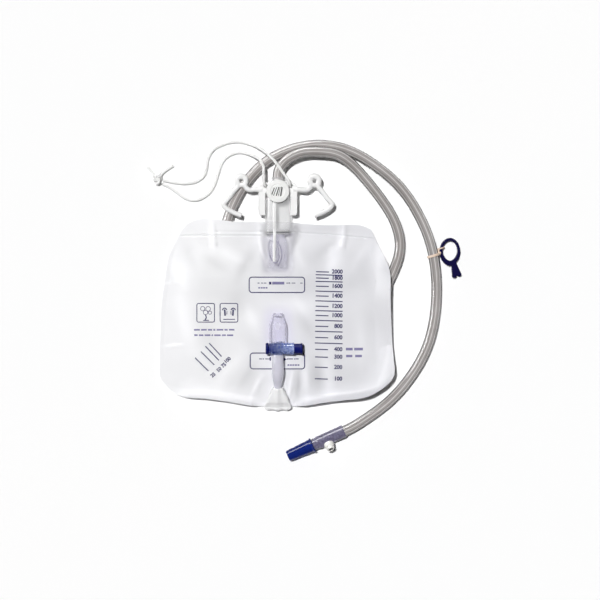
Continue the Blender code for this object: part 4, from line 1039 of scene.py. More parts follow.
valveSet = {
    "film": ((0.9, 0.88, 1.0), 0.2, (0.84, 0.82, 0.99), 80, 700, 0.001, 0.4, 0.85),
    "tongueFilm": ((0.2, 0.18, 0.3), 0.3, (0.15, 0.14, 0.24), 300, 1500, 0.02),
    "end": 0.022,
    # share of the length in hundredths, then half width, half depth and rise in millimetres
    "sleeve": (
        (0, 7.1, 7.1, 0), (6, 7.3, 7.1, 0), (14, 8.6, 7, -0.1), (24, 9.6, 7, -0.2),
        (45, 10.2, 7, -0.4), (62, 10.2, 6.8, -0.8), (78, 10.1, 6.2, -1.2), (90, 9.5, 4, -2),
        (100, 8.8, 1.4, -3),
    ),
    # half thickness of each line of the tongue, then its points on the photograph
    "tongue": (
        (0.00055, (270.8, 240.5), (269.2, 243), (268.8, 249), (270, 256), (272.4, 261),
         (275.4, 263.2), (278.4, 260.4), (279.4, 255)),
        (0.0005, (278.2, 241.4), (279.6, 245.5), (281.6, 250.5), (282, 256), (280.4, 261.4),
         (278, 266.5)),
        (0.0004, (272.4, 242.4), (275, 240.8), (277.4, 242.6), (278, 247), (279, 251.4),
         (278, 256)),
        (0.00035, (274.6, 246.8), (276.6, 249.6), (275.4, 253.4), (274.2, 257.8), (275.2, 260.6)),
    ),
}


def makeValve():
    lilac = finish("valve_sleeve", *valveSet["film"])
    top, z = chamberSet["bottom"] - 0.0022, chamberSet["barrel"][2]
    length = top - valveSet["end"]
    shape = [(s / 100, w / 1000, d / 1000, h / 1000) for s, w, d, h in valveSet["sleeve"]]
    rings = []
    for s, w, d, h in smoothLine(shape, 40):
        ring = arch(axisX, top - s * length, z + h, w, d)
        ripple = 0.0004 * s  # it creases more towards its flat end
        rings.append([(x, y, q + ripple * math.sin(x * 1900 + 30 * s)) for x, y, q in ring])
    bm = bmesh.new()
    archShell(bm, rings)
    valve = addPiece("valve_sleeve", bm, lilac, sharp=40)
    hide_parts("anti_reflux_valve")
    # outlines of the flattened inner tongue, as they show through the film
    dark = finish("valve_tongue", *valveSet["tongueFilm"])
    bm = bmesh.new()
    for thick, *outline in valveSet["tongue"]:
        line = [(*photoPoint(px, py), z + 0.0066) for px, py in outline]
        sweep(bm, smoothLine(line, 60), thick, 10)
    addPiece("valve_tongue", bm, dark)
    print("valve")


# vent
ventSet = {
    "plastic": ((0.92, 0.92, 0.91), 0.3, (0.88, 0.88, 0.87), 150, 1300, 0.02),
    # dark disc of painted shade behind the slots
    "grille": ((0.14, 0.14, 0.14), 0.8, (0.09, 0.09, 0.09), 500, 3000, 0.1),
    "radius": 0.012,
    "rib": 0.0086,
    # place across, lean in degrees and half width of each slot, the lengths in millimetres
    "slots": ((-5.0, 21, 0.55), (-2.8, 21, 0.4), (-0.2, 17, 0.6), (1.6, 12, 0.35), (3.7, 9, 0.75)),
    "slotHalf": {"outer": 0.0036, "inner": 0.0043},
    "slotShadeRadius": 0.0062,
    "centre": (0.0013, 0.105, 0.0203),
}


def makeVent():
    white = finish("vent_plastic", *ventSet["plastic"])
    r, rib = ventSet["radius"], ventSet["rib"]
    centreX, centreY, height = ventSet["centre"]
    profile = [
        (0, 0.0015), (0.0062, 0.0015), (0.0064, 0.0012), (0.0067, 0.0012), (0.0069, 0.0015),
        (rib - 0.0009, 0.0015), (rib - 0.0009, 0.002), (rib, 0.002), (rib, 0.0015),
        (r - 0.001, 0.0015), (r - 0.0002, 0.0012), (r, 0.0006), (r, 0), (0, 0),
    ]
    place = Matrix.Translation(ventSet["centre"])
    cap = turnedPiece("vent_disc", profile, place, white, 72, 0.0002)
    bm = bmesh.new()
    for x, lean, half in ventSet["slots"]:
        length = ventSet["slotHalf"]["outer" if abs(x) > 4 else "inner"]
        turn = math.radians(lean)
        outline = []
        for way, angle in ((1, -lean), (-1, -lean - 180)):
            dx, dy = math.sin(turn) * way * length, math.cos(turn) * way * length
            middle = (centreX + x / 1000 + dx, centreY - 0.0004 + dy)
            outline += arcPoints(middle, half / 1000, angle, 180 + angle, 8)
        prism(bm, outline, height - 0.004, height + 0.006)
    cutter = addPiece("vent_cutter", bm, None, None)
    cut = cap.modifiers.new("holes", "BOOLEAN")
    cut.operation = "DIFFERENCE"
    cut.object = cutter
    applyModifiers(cap)
    bpy.data.objects.remove(cutter)
    cap.data.set_sharp_from_angle(angle=math.radians(35))
    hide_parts("vent_cap")
    # painted shade: a dark disc behind the slots, where they fall into shade
    dark = finish("grille_shade", *ventSet["grille"])
    bm = bmesh.new()
    place = Matrix.Translation((centreX, centreY, height + 0.0005))
    wide = ventSet["slotShadeRadius"]
    bmesh.ops.create_cone(
        bm, cap_ends=True, segments=48, radius1=wide, radius2=wide, depth=0.0006, matrix=place
    )
    addPiece("vent_grille", bm, dark)
    print("vent")


# drain tap, spout and outlet
tapSet = {
    "clear": ((0.55, 0.64, 0.95), 0.1, (0.16, 0.25, 0.74), 360, 700, 0.001, 0.16, 0.75),
    "blue": (
        (0.005, 0.009, 0.13), 0.45, (0.004, 0.007, 0.1), 140, 1200, 0.02, 1.0, None, 0.0, 0.1,
    ),
    "spoutClear": ((0.78, 0.76, 0.93), 0.12, (0.72, 0.7, 0.89), 90, 600, 0.001, 0.12, 0.95),
    "y": -0.059,
    "z": 0.0228,
    "radius": 0.0063,
    "bore": 0.0055,
    "left": -0.009,
    "right": 0.017,
    "stem": 0.0051,
    "lip": 0.0059,
    "gap": 0.0003,
    "travel": 0.0068,
    "knob": 0.0016,
    "spout": 0.0304,
}


def tapFrame(direction=(1, 0, 0)):
    return facing((axisX, tapSet["y"], tapSet["z"]), direction)


# the clear barrel turns frosted and mottled towards its knob end
def frostAlong(material, start, end, low, high):
    tree = material.node_tree
    along = rangeNode(tree, alongX(tree), axisX + start, axisX + end, low, high, "SMOOTHSTEP")
    drift = tree.nodes["Noise Texture"].outputs["Fac"]
    frost = mathNode(tree, "MULTIPLY_ADD", drift, 0.24, along)
    setSockets(tree, tree.nodes["density"], {"To Min": frost})


def makeTap():
    t = tapSet
    clear = finish("tap_plastic", *tapSet["clear"])
    frostAlong(clear, t["left"], t["right"], -0.05, 0.36)
    blue = finish("stem_plastic", *tapSet["blue"])
    r, bore, left, right = t["radius"], t["bore"], t["left"], t["right"]
    barrel = [
        (bore, left), (r, left), (r, left + 0.0012), (r - 0.0003, left + 0.0015),
        (r - 0.0003, right - 0.0015), (r, right - 0.0012), (r, right), (bore, right),
    ]
    bm = bmesh.new()
    lathe(bm, softProfile(barrel, 0.0002), tapFrame(), 64)
    for way in (1, -1):
        spigot = [(0, 0.0057), (0.0044, 0.0057), (0.0044, 0.0076), (0.0041, 0.008), (0, 0.008)]
        lathe(bm, spigot, tapFrame((0, way, 0)), 40)
    body = addPiece("tap_barrel", bm, clear)
    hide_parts("tap_body")

    end = right + t["gap"] + t["travel"] + t["knob"]
    stem, lip = t["stem"], t["lip"]
    profile = [
        (0, end - 0.0003), (0.0034, end - 0.0003), (0.0037, end), (lip - 0.0004, end),
        (lip, end - 0.0004), (lip, end - 0.0014), (stem + 0.0002, end - 0.0018),
    ]
    for offset in (0.0108, 0.003):
        profile += [(stem, offset + 0.001), (0.0036, offset + 0.001)]
        profile += [(0.0036, offset - 0.001), (stem, offset - 0.001)]
    profile += [(stem, left - 0.0003), (0.0022, left - 0.0003), (0.0022, left - 0.0024)]
    profile += [(0, left - 0.0024)]
    knob = turnedPiece("stem_rod", profile, tapFrame(), blue, 64, 0.0002, "tap_stem")
    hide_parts("tap_stem")
    inner = [
        (0.0025, -0.0006), (lip - 0.0003, -0.0006), (lip, -0.0009), (lip, -0.003),
        (lip - 0.0005, -0.0036), (0.0034, -0.0036), (0.0031, -0.0033), (0.0008, -0.0033),
        (0.0008, -0.0027), (0.0025, -0.0027),
    ]
    inner = [(radius, left + height) for radius, height in inner]
    button = turnedPiece("stem_button", inner, tapFrame(), blue, 56, 0.0002, "tap_stem")
    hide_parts("stem_end_cap")

    spoutClear = finish("spout_plastic", *tapSet["spoutClear"])
    start = r + t["gap"]
    tip = start + t["spout"]
    profile = [
        (0, tip - 0.004), (0.0036, tip - 0.0032), (0.0042, tip), (0.0049, tip),
        (0.0053, tip - 0.0006), (0.0056, tip - 0.0025), (0.0089, start + 0.018),
        (0.0089, start + 0.0006), (0.0083, start), (0, start),
    ]
    spout = turnedPiece("spout_moulding", profile, tapFrame((0, 1, 0)), spoutClear, 56, 0.0006)
    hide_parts("drain_spout")
    print("tap and spout")


outletSet = {
    "clear": ((0.9, 0.89, 0.97), 0.12, (0.82, 0.81, 0.92), 90, 600, 0.001, 0.6, 0.9),
    # way down from the tap, height and radius, in millimetres
    "stations": (
        (0, 22.8, 5.8), (6, 22.8, 5.9), (12, 22.4, 6.1), (19, 21, 6.3), (25, 18.8, 5.6),
        (30, 16.6, 4.4), (36.9, 14, 3.6), (41.9, 12.2, 3.6),
    ),
    "neckFilm": ((0.99, 0.99, 0.995), (0.97, 0.97, 0.98), 0.95),
    "neckHalf": 0.0146,
    "neckLow": 0.0019,
    "neckBend": 0.0024,
    "pleat": 0.00055,
}


# an oval that stands across its direction in y and z; a pleat makes it wavy
def tiltedOval(x, centre, direction, halfWidth, halfDepth, sides, pleat=0.0):
    y, z = centre
    normal = Vector((-direction[1], direction[0]))
    ring = []
    for a in circle(sides):
        wave = pleat * math.sin(7 * math.cos(a) + 2)
        out = halfDepth * math.sin(a) + wave
        ring.append((x + halfWidth * math.cos(a), y + normal[0] * out, z + normal[1] * out))
    return ring


def makeOutlet():
    clear = finish("outlet_plastic", *outletSet["clear"])
    start = tapSet["y"] - tapSet["radius"] - tapSet["gap"]
    shape = [(start - a / 1000, z / 1000, r / 1000) for a, z, r in outletSet["stations"]]
    line = smoothLine(shape, 46)
    rings = []
    for i, (y, z, radius) in enumerate(line):
        before, after = line[max(i - 1, 0)], line[min(i + 1, len(line) - 1)]
        direction = Vector((after[0] - before[0], after[1] - before[1])).normalized()
        if i == 0:
            direction = Vector((-1, 0))
        rings.append(tiltedOval(axisX, (y, z), direction, radius, radius, 40))
    tube = loftedPiece("outlet_pipe", rings, clear, 35)
    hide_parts("outlet_tube")

    film = filmFinish("neck_film", *outletSet["neckFilm"], False)
    bagEnd = filmSet["top"] - filmSet["length"]
    low, bend, half = outletSet["neckLow"], outletSet["neckBend"], outletSet["neckHalf"]
    # place in y and z, direction in y and z, half width and half depth: the fold, then the front
    stations = [(bagEnd - 0.0003, low, -1, 0, half - 0.0022, 0.0012)]
    for angle in range(-90, -271, -20):
        a = math.radians(angle)
        y, z = bagEnd - 0.0007 + bend * math.cos(a), low + bend + bend * math.sin(a)
        tuck = 0.003 * max(0, -math.cos(a)) ** 3
        stations.append((y, z, math.sin(a), -math.cos(a), half - 0.0004 - tuck, 0.0013))
    endY, endZ = line[-1][:2]
    stations += [
        (bagEnd + 0.0025, low + 0.0067, 0.97, 0.22, half - 0.0012, 0.0018),
        (bagEnd + 0.0045, low + 0.0082, 0.95, 0.3, half - 0.0026, 0.0025),
        (endY - 0.003, endZ - 0.0008, 0.94, 0.33, 0.0108, 0.0038),
        (endY + 0.0002, endZ - 0.0002, 0.93, 0.36, 0.0092, 0.0046),
        (endY + 0.004, endZ + 0.0012, 0.94, 0.33, 0.0074, 0.0047),
        (-0.1012, endZ + 0.0022, 0.95, 0.3, 0.0063, 0.0048),
        (-0.0999, endZ + 0.0026, 0.95, 0.3, 0.0056, 0.0046),
    ]
    shares = np.linspace(0, len(stations) - 1, 60)
    columns = [np.interp(shares, range(len(stations)), column) for column in zip(*stations)]
    rings = []
    for y, z, dy, dz, wide, deep in zip(*columns):
        direction = Vector((dy, dz)).normalized()
        rings.append(tiltedOval(axisX, (y, z), direction, wide, deep, 96, outletSet["pleat"]))
    neck = loftedPiece("neck_sleeve", rings, film, None)
    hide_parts("outlet_neck")
    print("outlet tube and neck")


# connector, sampling port and cap
connectorSet = {
    "lilac": ((0.26, 0.24, 0.36), 0.26, (0.13, 0.12, 0.2), 420, 800, 0.006, 0.8, 0.98),
    "portWhite": ((0.93, 0.92, 0.88), 0.22, (0.89, 0.88, 0.84), 160, 1400, 0.02),
    "portRubber": ((0.035, 0.034, 0.036), 0.6, (0.025, 0.025, 0.027), 300, 2500, 0.06),
    "capBlue": (
        (0.009, 0.024, 0.2), 0.1, (0.007, 0.017, 0.14), 160, 900, 0.006, 1.0, None, 0.0, 0.2,
    ),
    "portAlong": 0.0203,
    "portTilt": math.radians(35),
    "root": -0.031,
    "shank": -0.0356,
    "tip": -0.0606,
    "capMouth": -0.0359,
    "capLength": 0.0289,
}


def portFrame():
    turn, tilt = tubeSet["turn"], connectorSet["portTilt"]
    side = Vector((-math.sin(turn), math.cos(turn), 0))
    direction = side * math.cos(tilt) + Vector((0, 0, math.sin(tilt)))
    return facing(connectorPoint(connectorSet["portAlong"]), direction)


def makeConnector():
    lilac = finish("connector_plastic", *connectorSet["lilac"])
    back = facing(connectorPoint(0), -connectorAxis())
    root, shank, tip = (connectorSet[name] for name in ("root", "shank", "tip"))
    profile = [
        (0.0058, 0), (0.0064, 0), (0.0068, -0.0006), (0.0068, -0.0026), (0.0066, -0.003),
        (0.0066, root + 0.0034), (0.0068, root + 0.003), (0.0068, root + 0.0012), (0.0061, root),
        (0.006, shank), (0.0052, shank), (0.0034, tip + 0.0004), (0.003, tip), (0.0018, tip),
        (0.0018, root), (0.004, -0.015), (0.004, -0.009), (0.0058, -0.009),
    ]
    sleeve = turnedPiece("connector_sleeve", profile, back, lilac, 64, 0.0003)
    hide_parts("catheter_connector")

    white = finish("port_plastic", *connectorSet["portWhite"])
    ball = arcPoints((0, 0.0075), 0.0055, 44, -9, 16)
    profile = [(0.0024, 0.0142), (0.0033, 0.0142), (0.0039, 0.0137), *ball, (0.0021, ball[-1][1])]
    profile += [(0.0021, 0.0046), (0.001, 0.0046), (0.001, 0.0121), (0.0024, 0.0121)]
    port = turnedPiece("port_moulding", profile, portFrame(), white, 56, 0.0002)
    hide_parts("sampling_port")
    rubber = finish("port_rubber", *connectorSet["portRubber"])
    disc = [(0, 0.0136), (0.0007, 0.0138), (0.0021, 0.0139), (0.0021, 0.0124), (0, 0.0124)]
    septum = turnedPiece("port_disc", disc, portFrame(), rubber, 40, 0.0001)
    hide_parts("port_septum")

    blue = finish("cap_plastic", *connectorSet["capBlue"])
    mouth = connectorSet["capMouth"]
    end = mouth - connectorSet["capLength"]
    profile = [
        (0.0058, mouth), (0.0079, mouth), (0.0083, mouth - 0.0003), (0.0081, mouth - 0.0011),
        (0.0072, mouth - 0.0019), (0.0069, mouth - 0.004), (0.0059, end + 0.0032),
        (0.0057, end + 0.001), (0.0047, end), (0, end), (0, end + 0.0012), (0.0043, end + 0.0012),
    ]
    cap = turnedPiece("cap_moulding", profile, back, blue, 72, 0.0004, "cap")
    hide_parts("protective_cap")
    print("connector, port, cap")


# bed-sheet clip and rubber band
clipSet = {
    "plastic": (
        (0.008, 0.006, 0.055), 0.35, (0.006, 0.004, 0.042), 120, 1200, 0.02, 1.0, None, 0.0, 0.2,
    ),
    "centre": (0.1815, 0.042),
    "half": (0.011, 0.0147),
    "bar": 0.0032,
    "thickness": 0.004,
    "tilt": math.radians(7),
    "voxel": 0.0003,
}


# height of the clip's underside, which leans up from its far edge to the tube
def clipBase(x):
    return 0.0002 + (clipSet["centre"][0] + clipSet["half"][0] - x) * math.tan(clipSet["tilt"])


def makeClip():
    navy = finish("clip_plastic", *clipSet["plastic"])
    wide, long = clipSet["half"]
    bar, thick, tilt = clipSet["bar"], clipSet["thickness"], clipSet["tilt"]

    def egg(halfWidth, halfLength, shift):
        points = []
        for a in circle(72):
            narrow = 1 - 0.16 * max(0, -math.sin(a)) ** 2
            points.append((halfWidth * narrow * math.cos(a), shift + halfLength * math.sin(a)))
        return points

    bm = bmesh.new()
    loops = (egg(wide, long, 0), egg(wide - bar, long - bar - 0.0012, 0.0012))
    addMesh(bm, plateMesh("clip_ring", loops, thick, 0.0007), Matrix())
    rootX, rootY = 0.004, -long + bar
    for side in (-1, 1):
        end = (0.0072 + side * 0.0025, rootY - 0.0128 + side * 0.0008)
        turn = math.degrees(math.atan2(end[1] - rootY, end[0] - rootX))
        outline = arcPoints((rootX, rootY), 0.0025, turn + 90, turn + 270, 12)
        outline += arcPoints(end, 0.0024, turn - 90, turn + 90, 12)
        addMesh(bm, plateMesh("clip_prong", (outline,), thick - 0.0002, 0.0006), Matrix())
    mesh = meshFrom(bm, "clip_moulding", None)
    lift = clipBase(clipSet["centre"][0]) + thick / 2 / math.cos(tilt)
    mesh.transform(Matrix.Translation((*clipSet["centre"], lift)) @ Matrix.Rotation(tilt, 4, "Y"))
    clip = addPiece("clip_moulding", mesh, navy)
    fuse(clip, clipSet["voxel"], 4)
    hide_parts("sheet_clip")
    makeBand()
    print("clip and band")


bandSet = {
    "rubber": ((0.84, 0.67, 0.54), 0.55, (0.76, 0.58, 0.46), 250, 2500, 0.08),
    "knot": (0.1698, 0.0396, 0.0078),
    "wide": 0.0013,
    "thin": 0.0008,
    "thick": 0.00045,
    "strand": 0.0009,
    "balls": ((-0.0006, 0.0017), (0.0009, 0.0014), (0.0002, 0.0016)),  # shift and radius
}


# a flat elastic loop round two circles that stand in the upright plane through start and end
def elasticLoop(bm, start, end, circles, halfWide):
    across = Vector((end[0] - start[0], end[1] - start[1], 0)).normalized()
    side = across.cross(Vector((0, 0, 1)))
    loops = []
    path = belt(circles)
    for i, ((u, z), (nu, nz)) in enumerate(path):
        place = Vector((start[0], start[1], 0)) + across * u + Vector((0, 0, z))
        normal = across * nu + Vector((0, 0, nz))
        roll = 0.5 * math.sin(4 * math.pi * i / len(path))
        ring = []
        for a in circle(16):
            c, s = math.cos(a), math.sin(a)
            flat = math.copysign(abs(c) ** 0.5, c) * halfWide
            out = math.copysign(abs(s) ** 0.7, s) * bandSet["thick"]
            out += (flat + halfWide) * roll * 0.5
            ring.append(bm.verts.new(place + side * flat + normal * (out + 0.0001)))
        loops.append(ring)
    skin(bm, loops, True)


def makeBand():
    beige = finish("band_rubber", *bandSet["rubber"])
    knot = Vector(bandSet["knot"])
    aim = Vector((knot.x - 0.006, knot.y - 0.0016))
    tube = min((Vector(p) for p in tubeLine(900)), key=lambda p: (p.xy - aim).length)
    near = tubeSet["radius"] + 0.0008
    bm = bmesh.new()
    span = (knot.xy - tube.xy).length
    elasticLoop(bm, tube, knot, ((0.0, tube.z, near), (span, knot.z, 0.0007)), bandSet["wide"])
    bar = (clipSet["centre"][0] - 0.0091, clipSet["centre"][1] + 0.0038)
    start = (bar[0] - 0.0031, bar[1] - 0.0009)
    far = math.hypot(clipSet["bar"] / 2, clipSet["thickness"] / 2) + 0.0007
    span = math.hypot(bar[0] - start[0], bar[1] - start[1])
    height = clipBase(bar[0]) + 0.002
    circles = ((0.0, height + 0.001, 0.0009), (span, height, far))
    elasticLoop(bm, start, bar, circles, bandSet["thin"])
    strand = [tuple(knot), (knot.x - 0.0004, knot.y + 0.0028, knot.z)]
    strand += [(start[0] + 0.0003, start[1], height + 0.0018)]
    sweep(bm, smoothLine(strand, 16), bandSet["strand"], 12)
    # the twist that ties the two loops
    for shift, size in bandSet["balls"]:
        place = Matrix.Translation(knot + Vector((shift, shift * 0.9 + 0.0004, 0)))
        bmesh.ops.create_uvsphere(bm, u_segments=20, v_segments=12, radius=size, matrix=place)
    band = addPiece("band_loop", bm, beige, sharp=60)
    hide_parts("rubber_band")


# closed line of a belt round two circles, each point with its outward normal
def belt(circles):
    (u1, z1, r1), (u2, z2, r2) = circles
    apart = math.hypot(u2 - u1, z2 - z1)
    lean = math.atan2(z2 - z1, u2 - u1)
    opening = math.acos((r1 - r2) / apart)
    runs = (
        (u1, z1, r1, lean + opening, lean + 2 * math.pi - opening, 40),
        (u2, z2, r2, lean - opening, lean + opening, 26),
    )
    path = []
    for centreU, centreZ, radius, start, end, count in runs:
        for i in range(count):
            a = start + (end - start) * i / (count - 1)
            normal = (math.cos(a), math.sin(a))
            path.append(((centreU + radius * normal[0], centreZ + radius * normal[1]), normal))
    return path


# knot
knotSet = {
    "centre": (-0.1252, 0.118, 0.0043),
    "size": (0.0036, 0.0046, 0.0024),
    "tails": (
        ((-126.6, 120, 3.6), (-130.5, 125.4, 2), (-135.4, 130.6, 1.7)),
        ((-123.4, 121, 3.8), (-117.5, 126.6, 2), (-108.6, 132.6, 1.7)),
    ),
}


def makeKnot():
    white = bpy.data.materials["cord_yarn"]
    bm = bmesh.new()
    centre, (wide, long, deep) = Vector(knotSet["centre"]), knotSet["size"]
    loop = []
    for i in range(120):  # the line of an overhand knot, drawn tight
        a = 2 * math.pi * i / 119 * 0.985
        x = (math.sin(a) + 2 * math.sin(2 * a)) / 3
        y = (math.cos(a) - 2 * math.cos(2 * a)) / 3
        loop.append(centre + Vector((x * wide * 1.15, y * long * 0.95, -math.sin(3 * a) * deep)))

    def strands(share, angle):
        return 0.95 + 0.09 * abs(math.cos(1.5 * angle + 40 * share))

    for line in (loop, *(smoothLine(metres(tail), 30) for tail in knotSet["tails"])):
        sweep(bm, line, cordSet["radius"], 16, strands)
    core = [(0, -0.003), (0.0016, -0.0024), (0.0026, 0), (0.0016, 0.0024), (0, 0.003)]
    lathe(bm, core, Matrix.Translation(centre), 20)
    knot = addPiece("cord_knot_tied", bm, white, sharp=None)
    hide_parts("cord_knot")
    print("knot")


# hidden parts that keep their solids
hiddenSet = {
    "rubber": ((0.02, 0.02, 0.022), 0.45, (0.015, 0.015, 0.017), 400, 3000, 0.05),
    "cloth": ((0.1, 0.1, 0.1), 0.9, (0.07, 0.07, 0.07), 900, 5000, 0.2),
}


def finishHidden():
    rubber = finish("seal_rubber", *hiddenSet["rubber"])
    cloth = finish("filter_cloth", *hiddenSet["cloth"])
    hidden = (("stem_seal_1", rubber), ("stem_seal_2", rubber), ("vent_filter", cloth))
    for node, material in hidden:
        for obj in bpy.data.objects:
            if obj.type == "MESH" and obj.name.split("[")[0].split(".")[0] == node:
                for slot in obj.material_slots:
                    slot.material = material


# print on the front film; places are read on the photograph where nothing else is said
printSet = {
    "ink": ((0.05, 0.043, 0.16), 0.45, (0.035, 0.03, 0.11), 320, 2600, 0.03, 0.92),
    "pale": ((0.24, 0.22, 0.44), 0.45, (0.2, 0.18, 0.38), 320, 2600, 0.03, 0.7),
    "line": 0.0011,
    "lift": 0.0001,
    "cell": 0.0012,  # the print is cut into cells of this size, so that it follows the film
    "tilt": math.radians(-1.6),
    "cornerTurn": math.radians(42),
    "numberSize": 0.0059,
    "cornerSize": 0.0052,
    # how far down the photograph each mark of the scale stands, with its number
    "numbered": (
        (272.1, 2000), (278.3, 1800), (286.4, 1600), (296.1, 1400), (306.3, 1200), (315.5, 1000),
        (326.2, 800), (337.4, 600), (349.2, 400), (356.8, 300), (367.0, 200), (378.6, 100),
    ),
    "plain": (275.2, 281.8, 291.5, 301.2, 310.9, 320.6, 331.5, 343.1),
    "corner": (
        ((209.7, 343.0), (222.0, 356.2), 100, (227.8, 359.9)),
        ((205.9, 346.0), (219.2, 360.0), 75, (224.1, 364.9)),
        ((201.4, 351.3), (214.6, 364.5), 50, (219.5, 369.2)),
        ((195.6, 357.5), (208.8, 370.7), 25, (213.5, 374.6)),
    ),
    # two labels, across the valve and across the tap: lower left and upper right, in metres
    "labels": (((-0.0286, -0.0006), (0.0292, 0.0154)), ((-0.0276, -0.0804), (0.0292, -0.0638))),
    # level of a row of dashes, their width in metres, and where each starts and ends
    "dashes": (
        (283.2, 0.0008, (257.8, 259.8), (263.8, 266.6), (286.4, 288.8), (291.6, 295.4),
         (300.2, 302.6)),
        (358.6, 0.001, (259.4, 262.2), (265.4, 268.2), (288.4, 293.0), (295.6, 298.6)),
    ),
    # place, way to the right or left, and size in metres
    "arrows": (
        (262.2, 283.2, 1, 0.0009), (289.6, 283.2, 1, 0.0009), (263.4, 358.6, 1, 0.001),
        (269.2, 358.6, 1, 0.001), (287.6, 358.6, -1, 0.001), (294.8, 358.6, -1, 0.001),
        (284.6, 359.0, 1, 0.0019),
    ),
    "blocks": (((269.2, 284.6), (271.6, 281.9)), ((269.8, 360.4), (271.2, 356.8))),
    # two framed signs: a leafy stem, and a pair of drops over a line
    "signs": ((197.4, 214.9), (220.5, 238.1)),
    "leaves": ((203.2, 308.6, 2.2), (208.6, 308.8, 2.3), (206.0, 312.4, 2.2), (210.4, 312.6, 1.6)),
    "drops": ((225.0, 1), (233.6, -1)),
    # upper left corner, height and gap of a row of small bars, then their lengths
    "bars": (
        ((194.6, 328.8), 0.0017, 0.0012, (6.2, 5.8, 4.5, 2.2, 7.1, 3.4, 5.8)),
        ((194.8, 334.2), 0.0017, 0.0012, (3.6, 4.8, 6.1, 1.6, 6.7, 4.2, 6.5)),
        ((258.6, 287.2), 0.0015, 0.0005, (2, 2, 2, 2)),
        ((287.6, 364.0), 0.0015, 0.0005, (2, 2, 2, 2.4, 2)),
    ),
    "paleBlocks": (
        ((272.4, 284.6), (284.4, 281.9)), ((345.6, 350.1), (352.4, 347.5)),
        ((353.8, 350.1), (362.6, 347.5)), ((345.8, 356.9), (352.0, 354.5)),
        ((354.8, 356.9), (361.6, 354.5)),
    ),
}


class FilmPrint:
    def __init__(self):
        bm = bmesh.new()
        bm.from_mesh(bpy.data.objects["front_film"].data)
        self.tree = BVHTree.FromBMesh(bm)
        bm.free()
        self.ink = bmesh.new()

    def onFilm(self, x, y):
        hit = self.tree.ray_cast(Vector((x, y, 0.2)), Vector((0, 0, -1)))[0]
        return (x, y, (hit.z if hit else 0.002) + printSet["lift"])

    # a printed line of even width along points given in metres
    def line(self, points, width=printSet["line"], closed=False):
        points = [Vector(p) for p in points]
        if closed:
            points.append(points[0])
        dense = [points[0]]
        for a, b in zip(points, points[1:]):
            steps = max(1, int((b - a).length / printSet["cell"]))
            dense += [a.lerp(b, (i + 1) / steps) for i in range(steps)]
        first, last = (dense[-2], dense[1]) if closed else (dense[0], dense[-1])
        rows = []
        for before, point, after in zip([first, *dense], dense, [*dense[1:], last]):
            way = (after - before).normalized()
            side = Vector((-way.y, way.x)) * width / 2
            rows.append([self.ink.verts.new(self.onFilm(*(point + s))) for s in (side, -side)])
        for a, b in zip(rows, rows[1:]):
            self.ink.faces.new((a[0], a[1], b[1], b[0]))

    def stroke(self, width, *places):
        self.line([photoPoint(*place) for place in places], width)

    # a filled field between two corners
    def field(self, low, high):
        columns = max(1, int((high[0] - low[0]) / printSet["cell"]))
        rows = max(1, int((high[1] - low[1]) / printSet["cell"]))
        across = np.linspace(low[0], high[0], columns + 1)
        up = np.linspace(low[1], high[1], rows + 1)
        grid = [[self.ink.verts.new(self.onFilm(x, y)) for x in across] for y in up]
        for a, b in zip(grid, grid[1:]):
            for i in range(columns):
                self.ink.faces.new((a[i], a[i + 1], b[i + 1], b[i]))

    def frame(self, low, high, corner, width=printSet["line"]):
        (x1, y1), (x2, y2) = low, high
        corners = ((x2 - corner, y2 - corner), (x1 + corner, y2 - corner))
        corners += ((x1 + corner, y1 + corner), (x2 - corner, y1 + corner))
        points = []
        for i, centre in enumerate(corners):
            points += arcPoints(centre, corner, 90 * i, 90 * i + 90, 6)
        self.line(points, width, True)

    def arrow(self, place, way, size):
        x, y = place
        tip = self.ink.verts.new(self.onFilm(x + way * size * 1.3, y))
        back = x - way * size * 0.5
        ends = [self.ink.verts.new(self.onFilm(back, y + s * size)) for s in (1, -1)]
        self.ink.faces.new((tip, *ends))

    def number(self, value, place, size, turn, anchor):
        curve = bpy.data.curves.new("number", "FONT")
        curve.body = str(value)
        curve.size = size
        curve.offset = size * 0.042
        curve.align_x = anchor
        curve.align_y = "CENTER"
        curve.resolution_u = 3
        mesh = curveMesh(curve)
        spin = Matrix.Rotation(turn, 2)
        for vertex in mesh.vertices:
            flat = spin @ Vector((vertex.co.x * 0.96, vertex.co.y))
            vertex.co = self.onFilm(place[0] + flat.x, place[1] + flat.y)
        self.ink.from_mesh(mesh)
        bpy.data.meshes.remove(mesh)

    # short bars where the film carries small words
    def bars(self, place, height, gap, lengths):
        x, y = photoPoint(*place)
        for length in lengths:
            self.field((x, y - height), (x + length / 1000, y))
            x += length / 1000 + gap


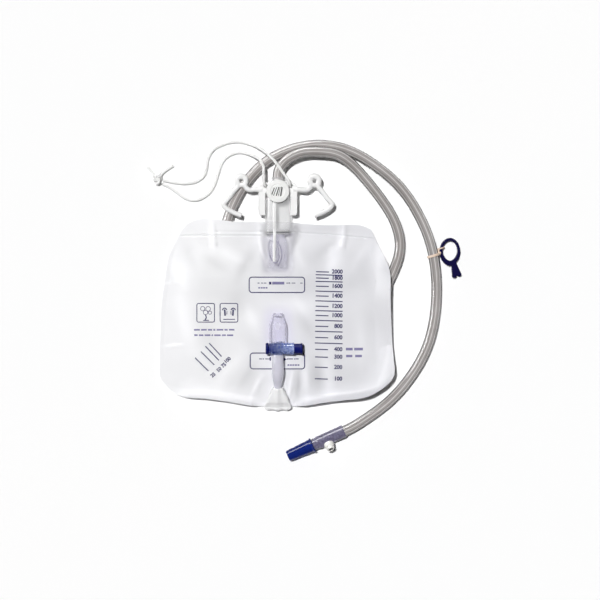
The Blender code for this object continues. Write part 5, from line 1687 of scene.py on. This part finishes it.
def makePrint():
    p = printSet
    ink = finish("print_ink", *printSet["ink"])
    pale = finish("print_pale", *printSet["pale"])
    work = FilmPrint()
    lean = math.tan(p["tilt"])

    # the scale leans a little, and its marks step to the left on the way down
    def leftShift(y):
        return (y - 320) * 0.012

    def tick(y, start, end):
        a, b = photoPoint(start - leftShift(y), y), photoPoint(end, y)
        drop = lean * (b[0] - a[0]) / 2
        work.line([(a[0], a[1] - drop), (b[0], b[1] + drop)])

    for y, value in p["numbered"]:
        tick(y, 315.4, 328.2 - leftShift(y))
        place = photoPoint(342.2 - 0.3 * leftShift(y), y)
        work.number(value, place, p["numberSize"], p["tilt"], "RIGHT")
    for y in p["plain"]:
        tick(y, 315.0, 342.3)
    for start, end, value, place in p["corner"]:
        work.stroke(p["line"], start, end)
        work.number(value, photoPoint(*place), p["cornerSize"], p["cornerTurn"], "CENTER")

    for low, high in p["labels"]:
        work.frame(low, high, 0.003)
    for y, width, *spans in p["dashes"]:
        for x1, x2 in spans:
            work.stroke(width, (x1, y), (x2, y))
    for x, y, way, size in p["arrows"]:
        work.arrow(photoPoint(x, y), way, size)
    for low, high in p["blocks"]:
        work.field(photoPoint(*low), photoPoint(*high))

    for x1, x2 in p["signs"]:
        work.frame(photoPoint(x1, 322.0), photoPoint(x2, 303.4), 0.0018, 0.0009)
    for x, y, r in p["leaves"]:
        ring = arcPoints(photoPoint(x, y), r * photoSet["pixel"], 0, 340, 14)
        work.line(ring, 0.0006, True)
    work.stroke(0.0012, (206, 314.4), (206.8, 317.4), (205.4, 320.4))
    work.stroke(0.0009, (203.6, 320.4), (209.4, 320.2))
    for x, way in p["drops"]:
        work.line(arcPoints(photoPoint(x, 310.2), 0.0022, 0, 180, 9))
        work.stroke(0.0018, (x, 309.4), (x + way * 0.5, 315.6))
        work.stroke(0.0007, (x + way * 2.4, 311), (x + way * 2.2, 314.4))
    work.stroke(0.0009, (223.8, 319.2), (235.4, 319.2))
    printed = addPiece("film_print", meshFrom(work.ink, "film_print", None, False), ink)

    # paler small marks
    work.ink = bmesh.new()
    for row in p["bars"]:
        work.bars(*row)
    for low, high in p["paleBlocks"]:
        work.field(photoPoint(*low), photoPoint(*high))
    addPiece("film_print_pale", meshFrom(work.ink, "film_print_pale", None, False), pale)
    print("print", len(printed.data.polygons), "faces")


makeStage()
makeTube()
makeCord()
makeFilms()
makePrint()
makeHanger()
makeChamber()
makeValve()
makeVent()
makeTap()
makeOutlet()
makeConnector()
makeClip()
makeKnot()
finishHidden()
